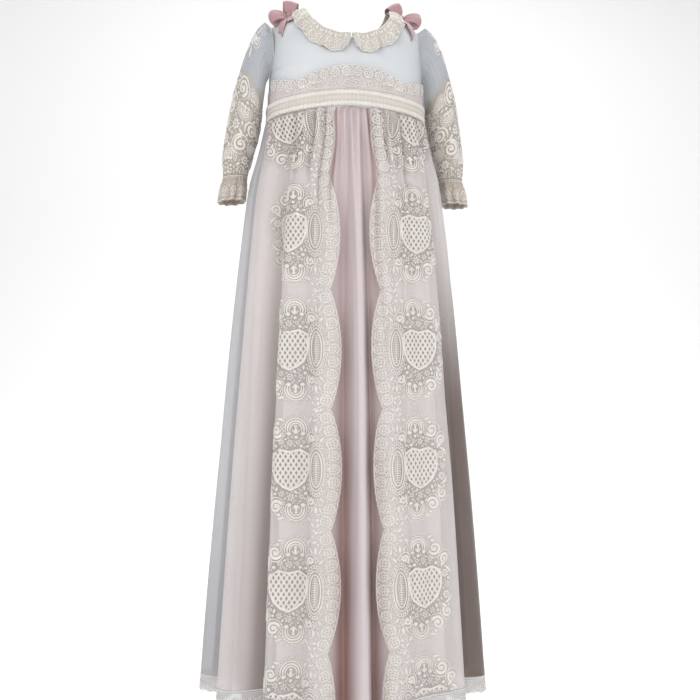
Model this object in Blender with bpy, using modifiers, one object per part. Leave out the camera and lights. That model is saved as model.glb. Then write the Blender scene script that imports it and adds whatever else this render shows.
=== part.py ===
"""A baby's lace gown, filled out as it is worn and hollow.

Metres, +Z up, front towards -Y. The origin is the middle of the neck at the height of the shoulder
seams, where the gown hangs from its wearer's shoulders. Angles run round the body from the centre
front towards +X. Every wall is an open sheet, mapped by a function and thickened inwards.
"""

import math

import bmesh
import bpy
from mathutils import Vector

# Driving sizes
WALL = 0.0012
GAP = 0.0003
SEAM = 0.0005
WAIST_Z = -0.1355
SKIRT_TOP_Z = WAIST_Z - GAP
HEM_SEAM_Z = -0.8825
HEM_Z = -0.9050
LINING_HEM_Z = -0.8970
HEM_SCALLOP_DEPTH = 0.0035
COLLECTION = "lace_gown"

# Shoulders, neck and armholes
SHOULDER_RISE = 0.004
SHOULDER_SLOPE = 0.42
SHOULDER_ROLL = 0.045
NECK_HALF_WIDTH = 0.0575
NECK_POWER = 2.3
FRONT_NECK_Z = -0.044
BACK_NECK_Z = -0.012
UNDERARM_Z = -0.083
ARMHOLE_ANGLE = 17.0
BODY_COLUMNS = 32
# Rows of the bodice above the underarm: degrees round the armhole, and round the neck edge.
# A neck value below 0 is on the centre line, half way up to the neck.
UPPER_ROWS = (
    (150.0, -1.0),
    (120.0, 0.0),
    (92.0, 24.0),
    (68.0, 46.0),
    (47.0, 64.0),
    (30.0, 77.0),
    (15.0, 85.5),
    (0.0, 90.0),
)

# Body section: height, half width, front depth, back depth
TORSO = (
    (0.010, 0.1000, 0.0660, 0.0600),
    (-0.020, 0.1000, 0.0660, 0.0620),
    (-0.070, 0.1030, 0.0730, 0.0650),
    (-0.140, 0.1046, 0.0752, 0.0662),
)
TORSO_POWER = 2.6

# Outer limit of each skirt: height, half width, front depth, back depth, power of the oval
OVERSKIRT = (
    (-0.1355, 0.1090, 0.0795, 0.0705, 2.60),
    (-0.1790, 0.1190, 0.0900, 0.0810, 2.40),
    (-0.2200, 0.1300, 0.0990, 0.0900, 2.25),
    (-0.2720, 0.1375, 0.1080, 0.0990, 2.15),
    (-0.3930, 0.1516, 0.1230, 0.1150, 2.05),
    (-0.5250, 0.1650, 0.1340, 0.1280, 2.00),
    (-0.6560, 0.1770, 0.1430, 0.1390, 2.00),
    (-0.7870, 0.1880, 0.1500, 0.1480, 2.00),
    (-0.9050, 0.1970, 0.1560, 0.1560, 2.00),
)
UNDERSKIRT = (
    (-0.1355, 0.1050, 0.0755, 0.0665, 2.60),
    (-0.1790, 0.1135, 0.0845, 0.0755, 2.40),
    (-0.2200, 0.1230, 0.0920, 0.0830, 2.25),
    (-0.2720, 0.1290, 0.1000, 0.0910, 2.15),
    (-0.3930, 0.1380, 0.1140, 0.1050, 2.05),
    (-0.5250, 0.1440, 0.1245, 0.1160, 2.00),
    (-0.6560, 0.1490, 0.1330, 0.1250, 2.00),
    (-0.7870, 0.1530, 0.1400, 0.1320, 2.00),
    (-0.9050, 0.1560, 0.1455, 0.1380, 2.00),
)

# Gathers along the waist seam, and the large folds that they fall into
GATHERS = 48
GATHER_DEPTH = 0.0030
GATHER_FALL = 0.120
FOLD_START = 0.060
FOLD_TOP_Z = -0.200
FOLD_POWER = 1.3
# Folds: angle of a ridge, depth of the valley after it near the top, and at the hem
FOLDS = (
    (-174.0, 0.006, 0.034),
    (-152.0, 0.004, 0.036),
    (-131.0, 0.006, 0.038),
    (-110.0, 0.004, 0.036),
    (-89.0, 0.006, 0.036),
    (-66.0, 0.010, 0.046),
    (-40.5, 0.004, 0.010),
    (-19.0, 0.009, 0.032),
    (3.5, 0.009, 0.028),
    (18.5, 0.003, 0.007),
    (52.0, 0.009, 0.040),
    (72.0, 0.005, 0.036),
    (92.0, 0.005, 0.036),
    (114.0, 0.006, 0.034),
    (138.0, 0.004, 0.038),
    (161.0, 0.006, 0.036),
)
# The overskirt's front edges stand off the folds next to them by this share, out to these degrees
EDGE_LIFT = 0.7
EDGE_LIFT_ANGLES = (15.0, 20.0)

# Overskirt fronts: the scalloped edge, its lace border and the side seam
SIDE_SEAM = 78.75
BORDER_ANGLE = 37.5
SCALLOP_PITCH = 0.149
SCALLOP_DEPTH = 0.0145
FIRST_SCALLOP_Z = -0.1515
SCALLOP_POWER = 0.8
# Opening at the notches of the front edge: height, half width
OPENING = (
    (-0.1355, 0.0400),
    (-0.2000, 0.0350),
    (-0.4500, 0.0340),
    (-0.7500, 0.0370),
    (-0.9050, 0.0460),
)

# Facets: degrees of a column in the gathers and in the folds, and rows of a plain panel as shares
GATHER_STEP = 1.875
FOLD_STEP = 3.75
BORDER_COLUMNS = 5
PLAIN_ROWS = (0.0, 0.030, 0.095, 0.21, 0.37, 0.56, 0.77, 1.0)

# Sleeve rings from the shoulder to the cuff: outer x, z, inner x, z, half depth
SLEEVE = (
    (0.1095, -0.0090, 0.1072, -0.0895, 0.0375),
    (0.1200, -0.0200, 0.1088, -0.0980, 0.0410),
    (0.1315, -0.0420, 0.1102, -0.1090, 0.0425),
    (0.1420, -0.0720, 0.1122, -0.1240, 0.0420),
    (0.1520, -0.1080, 0.1148, -0.1440, 0.0405),
    (0.1595, -0.1470, 0.1190, -0.1680, 0.0370),
    (0.1655, -0.1860, 0.1270, -0.1950, 0.0310),
    (0.1655, -0.2165, 0.1325, -0.2155, 0.0215),
)
SLEEVE_SWING = 0.012
SLEEVE_GATHERS = 10
SLEEVE_GATHER_DEPTH = 0.0022
# Cuff frill rings: outer x, z, inner x, z, half depth, wave
FRILL = (
    (0.1655, -0.2171, 0.1325, -0.2161, 0.0215, 0.0000),
    (0.1690, -0.2320, 0.1340, -0.2310, 0.0245, 0.0012),
    (0.1710, -0.2520, 0.1368, -0.2500, 0.0270, 0.0026),
)
FRILL_WAVES = 9

# Collar ruffle: distance from the neck edge, lift off the bodice, wave
COLLAR = (
    (-0.0002, 0.0017, 0.0000),
    (-0.0036, 0.0042, 0.0006),
    (0.0060, 0.0056, 0.0012),
    (0.0165, 0.0034, 0.0017),
)
COLLAR_WAVES = 10
COLLAR_SHOULDER_WIDTH = 0.66
COLLAR_SHOULDER_FALL = 0.20
COLLAR_SHOULDER_REACH = 0.025
COLLAR_ENDS = (0.008, 0.992)

# Waist trims
SASH_TOP_FRONT_Z = -0.0955
SASH_TOP_SIDE_Z = -0.0863
SASH_WALL = 0.0010
BRAID_TOP_Z = -0.1136
TRIM_BOTTOM_Z = WAIST_Z + GAP
WAIST_LACE_NOTCH_Z = -0.0960
WAIST_LACE_END = 75.0
# Braid outline: height below its top edge, thickness
BRAID = (
    (0.0000, 0.0009),
    (0.0030, 0.0019),
    (0.0062, 0.0010),
    (0.0156, 0.0010),
    (0.0187, 0.0019),
    (0.0216, 0.0009),
)

# Shoulder bows
BOW_KNOT = (0.0775, -0.0150, -0.0031)
BOW_TILT = 60.0
RIBBON_WALL = 0.0011
TAIL_LIFT = 0.0018
KNOT_SIZE = (0.0080, 0.0100, 0.0080)

# Back buttons
BUTTON_RADIUS = 0.0048
BUTTON_THICKNESS = 0.0026
BUTTON_COUNT = 3
BUTTON_SIDE = 0.0062
FIRST_BUTTON_Z = -0.0370
BUTTON_PITCH = 0.0205

# Materials: colour, roughness
CLOTHS = {
    "ivory_satin": ((0.80, 0.81, 0.81), 0.50),
    "net": ((0.74, 0.70, 0.70), 0.85),
    "ivory_lace": ((0.76, 0.73, 0.68), 0.80),
    "pink_satin": ((0.62, 0.44, 0.43), 0.45),
    "rose_ribbon": ((0.42, 0.21, 0.23), 0.70),
    "pearl_button": ((0.82, 0.79, 0.72), 0.30),
}


def clear_scene():
    """Takes every object out of the scene."""
    for item in list(bpy.data.objects):
        bpy.data.objects.remove(item, do_unlink=True)


def cloth_material(name):
    """One of the gown's materials, made the first time it is asked for."""
    if name in bpy.data.materials:
        return bpy.data.materials[name]
    colour, roughness = CLOTHS[name]
    material = bpy.data.materials.new(name)
    material.use_nodes = True
    shader = material.node_tree.nodes["Principled BSDF"]
    shader.inputs["Base Color"].default_value = (*colour, 1.0)
    shader.inputs["Roughness"].default_value = roughness
    shader.inputs["Metallic"].default_value = 0.0
    return material


def collection_named(name):
    """A collection of the scene, made the first time it is asked for."""
    found = bpy.data.collections.get(name)
    if found is None:
        found = bpy.data.collections.new(name)
        bpy.context.scene.collection.children.link(found)
    return found


def smooth_step(value):
    """0 below 0, 1 above 1, and a smooth rise between."""
    value = min(max(value, 0.0), 1.0)
    return value * value * (3.0 - 2.0 * value)


def from_table(table, height):
    """The other columns of a table at a height. Its first column falls from row to row."""
    rows = len(table)
    after = 1
    while after < rows - 1 and height < table[after][0]:
        after += 1
    before = after - 1
    span = table[after][0] - table[before][0]
    share = min(max((height - table[before][0]) / span, 0.0), 1.0)
    result = []
    for column in range(1, len(table[0])):
        here = table[before][column]
        there = table[after][column]
        slope_here = table_slope(table, before, column) * span
        slope_there = table_slope(table, after, column) * span
        cube = share**3
        square = share**2
        result.append(
            here * (2 * cube - 3 * square + 1)
            + slope_here * (cube - 2 * square + share)
            + there * (3 * square - 2 * cube)
            + slope_there * (cube - square)
        )
    return result


def table_slope(table, row, column):
    """Slope of a table's column at a row, from its neighbours."""
    low = max(row - 1, 0)
    high = min(row + 1, len(table) - 1)
    return (table[high][column] - table[low][column]) / (table[high][0] - table[low][0])


def oval_radius(angle, half_width, front, back, power):
    """Distance from the axis to a rounded oval, at an angle from the centre front."""
    depth = front if math.cos(angle) > 0 else back
    across = abs(math.sin(angle)) / half_width
    along = abs(math.cos(angle)) / depth
    return (across**power + along**power) ** (-1.0 / power)


def round_axis(angle, radius, z):
    """A point at an angle and a distance from the axis."""
    return Vector((radius * math.sin(angle), -radius * math.cos(angle), z))


# Bodice


def shoulder_z(x):
    """Height of the shoulder line at a distance from the centre."""
    return SHOULDER_RISE - SHOULDER_SLOPE * (abs(x) - 0.055)


def torso_radius(angle, z):
    """Distance from the axis to the bodice's outer side."""
    return oval_radius(angle, *from_table(TORSO, z), TORSO_POWER)


def torso_point(angle, z, out=0.0):
    """A point of the bodice's outer side, which rolls back to the shoulder line at its top."""
    flat = round_axis(angle, torso_radius(angle, z) + out, z)
    drop = min(max((shoulder_z(flat.x) - z) / SHOULDER_ROLL, 0.0), 1.0)
    flat.y *= math.sqrt(1.0 - (1.0 - drop) ** 2)
    return flat


def torso_excess(x, y, z):
    """Below 0 inside the bodice's outer side, 0 on it and above 0 outside it."""
    half_width, front, back = from_table(TORSO, z)
    depth = front if y < 0 else back
    depth *= (1.0 - min(abs(x) / half_width, 0.999) ** TORSO_POWER) ** (1.0 / TORSO_POWER)
    above = max(0.0, 1.0 - (shoulder_z(x) - z) / SHOULDER_ROLL)
    return (y / depth) ** 2 + above**2 - 1.0


def torso_normal(point):
    """Outward direction of the bodice at a point of its outer side."""
    step = 0.0002
    x, y, z = point
    slope = Vector((
        torso_excess(x + step, y, z) - torso_excess(x - step, y, z),
        torso_excess(x, y + step, z) - torso_excess(x, y - step, z),
        torso_excess(x, y, z + step) - torso_excess(x, y, z - step),
    ))
    return slope.normalized()


def angle_at(x, z, back):
    """Angle at which the bodice has this x, on its front or its back."""
    low, high = 0.0, math.pi / 2
    for _ in range(40):
        middle = (low + high) / 2
        turned = math.pi - middle if back else middle
        if torso_radius(turned, z) * math.sin(middle) < x:
            low = middle
        else:
            high = middle
    return math.pi - low if back else low


def neck_edge(turn, back):
    """Angle and height on the neck edge. turn runs from 0 at the centre to 90 at the shoulder."""
    lowest = BACK_NECK_Z if back else FRONT_NECK_Z
    highest = shoulder_z(NECK_HALF_WIDTH)
    turn = math.radians(turn)
    x = NECK_HALF_WIDTH * math.sin(turn) ** (2 / NECK_POWER)
    z = highest - (highest - lowest) * abs(math.cos(turn)) ** (2 / NECK_POWER)
    return angle_at(x, z, back), z


def armhole_edge(turn):
    """Angle and height on the armhole. turn runs from 0 at the shoulder, forwards, to 360."""
    highest = shoulder_z(TORSO[1][1])
    middle = (highest + UNDERARM_Z) / 2
    half = (highest - UNDERARM_Z) / 2
    turn = math.radians(turn)
    angle = math.pi / 2 - math.radians(ARMHOLE_ANGLE) * math.sin(turn)
    return angle, middle + half * math.cos(turn)


def bodice_rows(back):
    """Both ends of each row of a bodice quarter, as (angle, height), from the waist upwards."""
    centre = math.pi if back else 0.0
    lowest_neck = BACK_NECK_Z if back else FRONT_NECK_Z
    rows = []
    for step in range(3):
        z = WAIST_Z + (UNDERARM_Z - WAIST_Z) * step / 2
        rows.append(((centre, z), (math.pi / 2, z)))
    for armhole_turn, neck_turn in UPPER_ROWS:
        outer = armhole_edge(-armhole_turn if back else armhole_turn)
        if neck_turn < 0:
            inner = (centre, (UNDERARM_Z + lowest_neck) / 2)
        else:
            inner = neck_edge(neck_turn, back)
        rows.append((inner, outer))
    return rows


def below_shoulder(angle, z):
    """Distance of a place on the bodice under the shoulder line."""
    return shoulder_z(torso_radius(angle, z) * math.sin(angle)) - z


def level_below_shoulder(inner, outer, angle, share, z):
    """Height that keeps a row's distance under the shoulder line even from end to end."""
    wanted = below_shoulder(*inner) * (1.0 - share) + below_shoulder(*outer) * share
    for _ in range(3):
        z += below_shoulder(angle, z) - wanted
    return z


def bodice_quarter(mesh, back, columns=BODY_COLUMNS // 4):
    """Adds the front or back right-hand quarter of the bodice to a mesh."""
    rows = bodice_rows(back)
    last = len(rows) - 1
    made = bmesh.ops.create_grid(mesh, x_segments=columns, y_segments=last, size=0.5)
    for vertex in made["verts"]:
        share = vertex.co.x + 0.5
        row = round((vertex.co.y + 0.5) * last)
        inner, outer = rows[row]
        angle = inner[0] + (outer[0] - inner[0]) * share
        z = inner[1] + (outer[1] - inner[1]) * share
        if row > 2:
            z = level_below_shoulder(inner, outer, angle, share, z)
        vertex.co = torso_point(angle, z)
        if row == last:
            x = NECK_HALF_WIDTH + (TORSO[1][1] - NECK_HALF_WIDTH) * share
            vertex.co = Vector((x, 0.0, shoulder_z(x)))
        if share == 0.0 and abs(vertex.co.x) < 0.00001:
            vertex.co.x = 0.0
    if back:
        bmesh.ops.reverse_faces(mesh, faces=list({f for v in made["verts"] for f in v.link_faces}))


def bodice_shell():
    """Mesh of the right-hand half of the whole bodice, outer side only."""
    mesh = bmesh.new()
    bodice_quarter(mesh, back=False)
    bodice_quarter(mesh, back=True)
    bmesh.ops.remove_doubles(mesh, verts=mesh.verts, dist=0.00001)
    data = bpy.data.meshes.new("bodice")
    mesh.to_mesh(data)
    mesh.free()
    return data


def cutter_box(name, low, high):
    """A hidden box that keeps one piece of the bodice."""
    bpy.ops.mesh.primitive_cube_add(size=1.0)
    box = bpy.context.object
    box.name = name
    for vertex in box.data.vertices:
        for axis in range(3):
            vertex.co[axis] = high[axis] if vertex.co[axis] > 0 else low[axis]
    box.hide_render = True
    box.display_type = "WIRE"
    for holder in list(box.users_collection):
        holder.objects.unlink(box)
    collection_named("cutters").objects.link(box)
    return box


def make_bodice():
    """Front and two backs, cut from one shell along the shoulders, sides and centre back."""
    shell = bodice_shell()
    reach = 0.3
    half = GAP / 2
    cuts = {
        "bodice_front": ((-reach, -reach, -reach), (reach, -half, reach)),
        "bodice_back_left": ((-reach, half, -reach), (-half, reach, reach)),
        "bodice_back_right": ((half, half, -reach), (reach, reach, reach)),
    }
    for name, (low, high) in cuts.items():
        piece = add_object(name, shell.copy(), "ivory_satin")
        mirror = piece.modifiers.new("Mirror", "MIRROR")
        mirror.merge_threshold = 0.0001
        add_wall(piece, WALL)
        keep = piece.modifiers.new("Boolean", "BOOLEAN")
        keep.operation = "INTERSECT"
        keep.solver = "EXACT"
        keep.object = cutter_box(name + "_cutter", low, high)


# Sheets and shared shapes


def add_object(name, data, cloth):
    """Puts a mesh in the gown's collection as a named object."""
    piece = bpy.data.objects.new(name, data)
    collection_named(COLLECTION).objects.link(piece)
    data.materials.append(cloth_material(cloth))
    data.shade_smooth()
    return piece


def add_wall(piece, thickness, outwards=False):
    """Thickens an open sheet, inwards unless outwards is asked for."""
    wall = piece.modifiers.new("Solidify", "SOLIDIFY")
    wall.thickness = thickness
    wall.offset = 1.0 if outwards else -1.0
    return wall


def split_to_match(mesh):
    """Splits each border edge of a flat mesh where a finer neighbour has a point on it."""
    border = [edge for edge in mesh.edges if edge.is_boundary]
    points = {tuple(round(c, 6) for c in v.co) for e in border for v in e.verts}
    for edge in border:
        start, end = edge.verts[0].co.copy(), edge.verts[1].co.copy()
        way = end - start
        length = way.length
        on_edge = []
        for point in points:
            offset = Vector(point) - start
            share = offset.dot(way) / length**2
            if 1e-3 < share < 1 - 1e-3 and (offset - way * share).length < 1e-5:
                on_edge.append(share)
        done = 0.0
        first = edge.verts[0]
        rest = edge
        for share in sorted(on_edge):
            rest_start = first
            other = rest.other_vert(rest_start)
            made_edge, made_vertex = bmesh.utils.edge_split(rest, rest_start, (share - done) / (1 - done))
            done = share
            first = made_vertex
            rest = made_edge if made_edge.other_vert(made_vertex) is other else rest
            if other not in rest.verts:
                rest = next(e for e in made_vertex.link_edges if other in e.verts)


def flat_sheet(bands):
    """A flat mesh of bands, each (start, end, top, bottom, columns, rows), joined where they meet."""
    mesh = bmesh.new()
    for start, end, top, bottom, columns, rows in bands:
        made = bmesh.ops.create_grid(mesh, x_segments=columns, y_segments=rows, size=0.5)
        for vertex in made["verts"]:
            vertex.co.x = start + (vertex.co.x + 0.5) * (end - start)
            vertex.co.y = bottom + (vertex.co.y + 0.5) * (top - bottom)
    if len(bands) > 1:
        split_to_match(mesh)
        bmesh.ops.remove_doubles(mesh, verts=mesh.verts, dist=0.00002)
    bmesh.ops.triangulate(mesh, faces=[f for f in mesh.faces if len(f.verts) > 4])
    return mesh


def sheet_object(name, bands, place, cloth, wall=WALL, outwards=False, close=False):
    """A walled sheet: flat bands, each point of which is moved by place(across, down)."""
    mesh = flat_sheet(bands)
    for vertex in mesh.verts:
        vertex.co = place(vertex.co.x, vertex.co.y)
    if close:
        bmesh.ops.remove_doubles(mesh, verts=mesh.verts, dist=0.00001)
    data = bpy.data.meshes.new(name)
    mesh.to_mesh(data)
    mesh.free()
    piece = add_object(name, data, cloth)
    add_wall(piece, wall, outwards)
    return piece


def mirrored(point):
    """The same point on the other side of the body."""
    return Vector((-point.x, point.y, point.z))


# Skirts


def fold_depth(angle, z):
    """How far the large folds draw the cloth in at this place."""
    degrees = (math.degrees(angle) + 180.0) % 360.0 - 180.0
    count = len(FOLDS)
    index = count - 1
    while index >= 0 and FOLDS[index][0] > degrees:
        index -= 1
    ridge, top_depth, hem_depth = FOLDS[index]
    following = FOLDS[(index + 1) % count][0]
    share = ((degrees - ridge) % 360.0) / ((following - ridge) % 360.0)
    valley = (math.sin(math.pi * share) ** 2) ** FOLD_POWER
    fallen = min(max((FOLD_TOP_Z - z) / (FOLD_TOP_Z - HEM_Z), 0.0), 1.0)
    depth = top_depth + (hem_depth - top_depth) * fallen**0.75
    return depth * valley * smooth_step((SKIRT_TOP_Z - z) / FOLD_START)


def gather_depth(angle, z):
    """How far the gathers draw the cloth in at this place."""
    strength = 1.0 - smooth_step((SKIRT_TOP_Z - z) / GATHER_FALL)
    return GATHER_DEPTH * strength * (1.0 - math.cos(GATHERS * angle)) / 2


def edge_share(section, angle):
    """Share of the folds that the cloth follows here: less along the overskirt's front edges."""
    if section is UNDERSKIRT:
        return 1.0
    inner, outer = EDGE_LIFT_ANGLES
    return 1.0 - EDGE_LIFT * (1.0 - smooth_step((abs(math.degrees(angle)) - inner) / (outer - inner)))


def skirt_point(section, angle, z):
    """A point of a skirt's outer side."""
    half_width, front, back, power = from_table(section, z)
    radius = oval_radius(angle, half_width, front, back, power)
    folded = fold_depth(angle, z) * edge_share(section, angle)
    return round_axis(angle, radius - gather_depth(angle, z) - folded, z)


def scallop(distance):
    """1 in the middle of a scallop and 0 at its notches."""
    return abs(math.cos(math.pi * distance / SCALLOP_PITCH)) ** SCALLOP_POWER


def front_edge_angle(z):
    """Angle in degrees of the overskirt's scalloped front edge."""
    half_opening = from_table(OPENING, z)[0] - SCALLOP_DEPTH * scallop(z - FIRST_SCALLOP_Z)
    front = from_table(OVERSKIRT, z)[1]
    return math.degrees(math.atan2(half_opening, front))


def over_front_angle(across, z):
    """Angle of a column of the overskirt front, whose border follows the scalloped edge."""
    if across >= BORDER_ANGLE:
        return across
    edge = front_edge_angle(z)
    return edge + (BORDER_ANGLE - edge) * across / BORDER_ANGLE


def seam_angle(z):
    """Half of a seam's gap, as an angle in degrees."""
    return math.degrees(SEAM / 2 / from_table(OVERSKIRT, z)[0])


def over_front_point(across, z, side):
    """A point of the right overskirt front, or of the left one, whose folds are its own."""
    if across == SIDE_SEAM:
        across -= seam_angle(z)
    angle = math.radians(over_front_angle(across, z))
    return skirt_point(OVERSKIRT, side * angle, z)


def skirt_arc_point(section, start, end, degrees, z):
    """A point of a skirt panel between two seams, with half of the seam's gap at each."""
    if degrees == start:
        degrees += seam_angle(z)
    if degrees == end:
        degrees -= seam_angle(z)
    return skirt_point(section, math.radians(degrees), z)


def notch_lines():
    """Heights of the overskirt front's rows: the gathers, then each notch of the scalloped edge."""
    lines = [SKIRT_TOP_Z, FIRST_SCALLOP_Z - SCALLOP_PITCH / 6]
    line = FIRST_SCALLOP_Z - SCALLOP_PITCH / 2
    while line > HEM_SEAM_Z + 0.02:
        lines.append(line)
        line -= SCALLOP_PITCH
    lines.append(HEM_SEAM_Z)
    return lines


def over_front_bands():
    """Bands of an overskirt front: a fine scalloped border, fine gathers and coarse folds."""
    lines = notch_lines()
    bands = []
    for number, (top, bottom) in enumerate(zip(lines, lines[1:])):
        border_rows = max(round(6 * (top - bottom) / SCALLOP_PITCH), 2)
        bands.append((0.0, BORDER_ANGLE, top, bottom, BORDER_COLUMNS, border_rows))
        step = GATHER_STEP if number == 0 else FOLD_STEP
        columns = round((SIDE_SEAM - BORDER_ANGLE) / step)
        rows = 2 if border_rows == 6 else 1
        bands.append((BORDER_ANGLE, SIDE_SEAM, top, bottom, columns, rows))
    return bands


def make_overskirt_fronts():
    """Both embroidered fronts of the overskirt, open at the centre."""
    for name, side in (("overskirt_front_left", -1), ("overskirt_front_right", 1)):
        piece = sheet_object(
            name,
            over_front_bands(),
            lambda across, z, side=side: over_front_point(across, z, side),
            "net",
        )
        if side < 0:
            piece.data.flip_normals()


def skirt_bands(start, end, hem, top_step):
    """Bands of a plain skirt panel: its own columns in the gathers, coarser ones below."""
    bands = []
    for number, (top, bottom) in enumerate(zip(PLAIN_ROWS, PLAIN_ROWS[1:])):
        step = top_step if number == 0 else FOLD_STEP
        columns = round((end - start) / step)
        top_z = SKIRT_TOP_Z + (hem - SKIRT_TOP_Z) * top
        bottom_z = SKIRT_TOP_Z + (hem - SKIRT_TOP_Z) * bottom
        bands.append((start, end, top_z, bottom_z, columns, 1))
    return bands


def make_skirt_panel(name, section, start, end, hem, cloth, top_step=GATHER_STEP):
    """A gathered skirt panel between two angles."""
    sheet_object(
        name,
        skirt_bands(start, end, hem, top_step),
        lambda degrees, z: skirt_arc_point(section, start, end, degrees, z),
        cloth,
    )


def hem_lace_z(across, z):
    """Height in the hem lace, whose lower edge has small scallops."""
    if z > HEM_Z + 0.001:
        return z
    return z + HEM_SCALLOP_DEPTH * abs(math.cos(math.pi * across / (2 * FOLD_STEP)))


def make_hem_lace():
    """A scalloped lace edging on the hem of each overskirt panel."""
    top = HEM_SEAM_Z - GAP
    main_columns = round((SIDE_SEAM - BORDER_ANGLE) / FOLD_STEP)
    front_band = [
        (0.0, BORDER_ANGLE, top, HEM_Z, BORDER_COLUMNS, 1),
        (BORDER_ANGLE, SIDE_SEAM, top, HEM_Z, main_columns, 1),
    ]
    for name, side in (("hem_lace_front_left", -1), ("hem_lace_front_right", 1)):
        piece = sheet_object(
            name,
            front_band,
            lambda across, z, side=side: over_front_point(across, hem_lace_z(across, z), side),
            "ivory_lace",
        )
        if side < 0:
            piece.data.flip_normals()
    start, end = SIDE_SEAM, 360.0 - SIDE_SEAM
    sheet_object(
        "hem_lace_back",
        [(start, end, top, HEM_Z, round((end - start) / FOLD_STEP), 1)],
        lambda across, z: skirt_arc_point(OVERSKIRT, start, end, across, hem_lace_z(across, z)),
        "ivory_lace",
    )


# Sleeves


def ring_point(ring, turn, wave=0.0):
    """A point of a sleeve ring. turn runs from 0 at the outer side, forwards, to 360."""
    outer_x, outer_z, inner_x, inner_z, half_depth = ring[:5]
    middle = Vector(((outer_x + inner_x) / 2, 0.0, (outer_z + inner_z) / 2))
    across = Vector(((outer_x - inner_x) / 2, 0.0, (outer_z - inner_z) / 2))
    turn = math.radians(turn)
    reach = 1.0 + wave / across.length
    swing = SLEEVE_SWING * smooth_step((-0.05 - middle.z) / 0.15)
    depth = Vector((0.0, -half_depth * math.sin(turn) * reach + swing, 0.0))
    return middle + across * (math.cos(turn) * reach) + depth


def sleeve_head(turn):
    """A point of the sleeve's seam, just outside the armhole."""
    angle, z = armhole_edge(turn)
    edge = torso_point(angle, z)
    return edge + Vector((GAP + 0.0002, 0.0, 0.0))


def sleeve_row(row, turn):
    """A point of one of the sleeve's rows, gathered near the armhole and at the cuff."""
    if row == 0:
        return sleeve_head(turn)
    fade = max(0.0, 1.0 - (row - 1) / 3)
    cuff = 1.0 if row == len(SLEEVE) else 0.0
    wave = -SLEEVE_GATHER_DEPTH * max(fade, 0.7 * cuff)
    wave *= (1.0 - math.cos(math.radians(SLEEVE_GATHERS * turn))) / 2
    return ring_point(SLEEVE[row - 1], turn, wave)


def make_sleeves():
    """Both sleeves, from the armhole to the gathered cuff."""
    last = len(SLEEVE)
    bands = [(0.0, 360.0, 0.0, 1.0, 40, 1), (0.0, 360.0, 1.0, float(last), 20, last - 1)]
    for name, flip in (("sleeve_right", False), ("sleeve_left", True)):

        def place(turn, row, flip=flip):
            point = sleeve_row(round(row), turn % 360.0)
            return mirrored(point) if flip else point

        piece = sheet_object(name, bands, place, "net", close=True)
        if not flip:
            piece.data.flip_normals()


def make_cuff_frills():
    """A wavy lace frill below each cuff's gathers."""
    for name, flip in (("cuff_frill_right", False), ("cuff_frill_left", True)):

        def place(turn, row, flip=flip):
            ring = FRILL[round(row)]
            waves = ring[5] * math.sin(math.radians(FRILL_WAVES * turn))
            gather = -0.7 * SLEEVE_GATHER_DEPTH if ring[5] == 0.0 else 0.0
            gather *= (1.0 - math.cos(math.radians(SLEEVE_GATHERS * turn))) / 2
            point = ring_point(ring, turn % 360.0, waves + gather)
            return mirrored(point) if flip else point

        bands = [(0.0, 360.0, 0.0, float(len(FRILL) - 1), 4 * FRILL_WAVES, len(FRILL) - 1)]
        piece = sheet_object(name, bands, place, "ivory_lace", close=True)
        if not flip:
            piece.data.flip_normals()


# Collar


def neck_curve(count=240):
    """Points of the neck edge from the centre front to the centre back, and their distances."""
    points = []
    for number in range(count + 1):
        turn = 180.0 * number / count
        back = turn > 90.0
        points.append(torso_point(*neck_edge(180.0 - turn if back else turn, back)))
    lengths = [0.0]
    for before, after in zip(points, points[1:]):
        lengths.append(lengths[-1] + (after - before).length)
    return points, lengths


def along_curve(curve, share):
    """Point of a curve at a share of its length."""
    points, lengths = curve
    wanted = min(max(share, 0.0), 1.0) * lengths[-1]
    index = 1
    while index < len(points) - 1 and lengths[index] < wanted:
        index += 1
    part = (wanted - lengths[index - 1]) / (lengths[index] - lengths[index - 1])
    return points[index - 1].lerp(points[index], part)


def collar_point(curve, share, row):
    """A point of the collar ruffle on the right-hand side, flatter on the shoulder."""
    away, lift, wave = COLLAR[round(row)]
    seat = COLLAR[0][1]
    share = COLLAR_ENDS[0] + (COLLAR_ENDS[1] - COLLAR_ENDS[0]) * share
    point = along_curve(curve, share)
    along = (along_curve(curve, share + 0.004) - along_curve(curve, share - 0.004)).normalized()
    shoulder = math.exp(-((point.y / COLLAR_SHOULDER_REACH) ** 2))
    normal = torso_normal(point)
    normal = (normal - along * normal.dot(along)).normalized()
    outward = along.cross(normal)
    flat = 1.0 - COLLAR_SHOULDER_FALL * shoulder
    waves = wave * math.sin(2 * math.pi * COLLAR_WAVES * share)
    reach = away * (1.0 - (1.0 - COLLAR_SHOULDER_WIDTH) * shoulder) if away > 0 else away
    return point + outward * reach + normal * (seat + (lift - seat + waves) * flat)


def make_collar():
    """The ruffled collar, in two halves that meet at the centre front and back."""
    rows = len(COLLAR) - 1
    bands = [(0.0, 1.0, 0.0, float(rows), COLLAR_WAVES * 4, rows)]
    curve = neck_curve()
    for name, flip in (("collar_right", False), ("collar_left", True)):

        def place(share, row, flip=flip):
            point = collar_point(curve, share, row)
            return mirrored(point) if flip else point

        piece = sheet_object(name, bands, place, "ivory_lace")
        if flip:
            piece.data.flip_normals()


# Waist trims


def sash_top(degrees):
    """Height of the sash's upper edge, lowest at the centre front."""
    turned = abs(math.sin(math.radians(degrees)))
    front = math.cos(math.radians(degrees)) > 0
    return SASH_TOP_FRONT_Z + (SASH_TOP_SIDE_Z - SASH_TOP_FRONT_Z) * (turned if front else 1.0)


def band_point(degrees, share, top, bottom, out):
    """A point of a band round the waist, at a share of its height and a distance off the bodice."""
    z = bottom + (top - bottom) * share
    return torso_point(math.radians(degrees), z, out)


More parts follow.
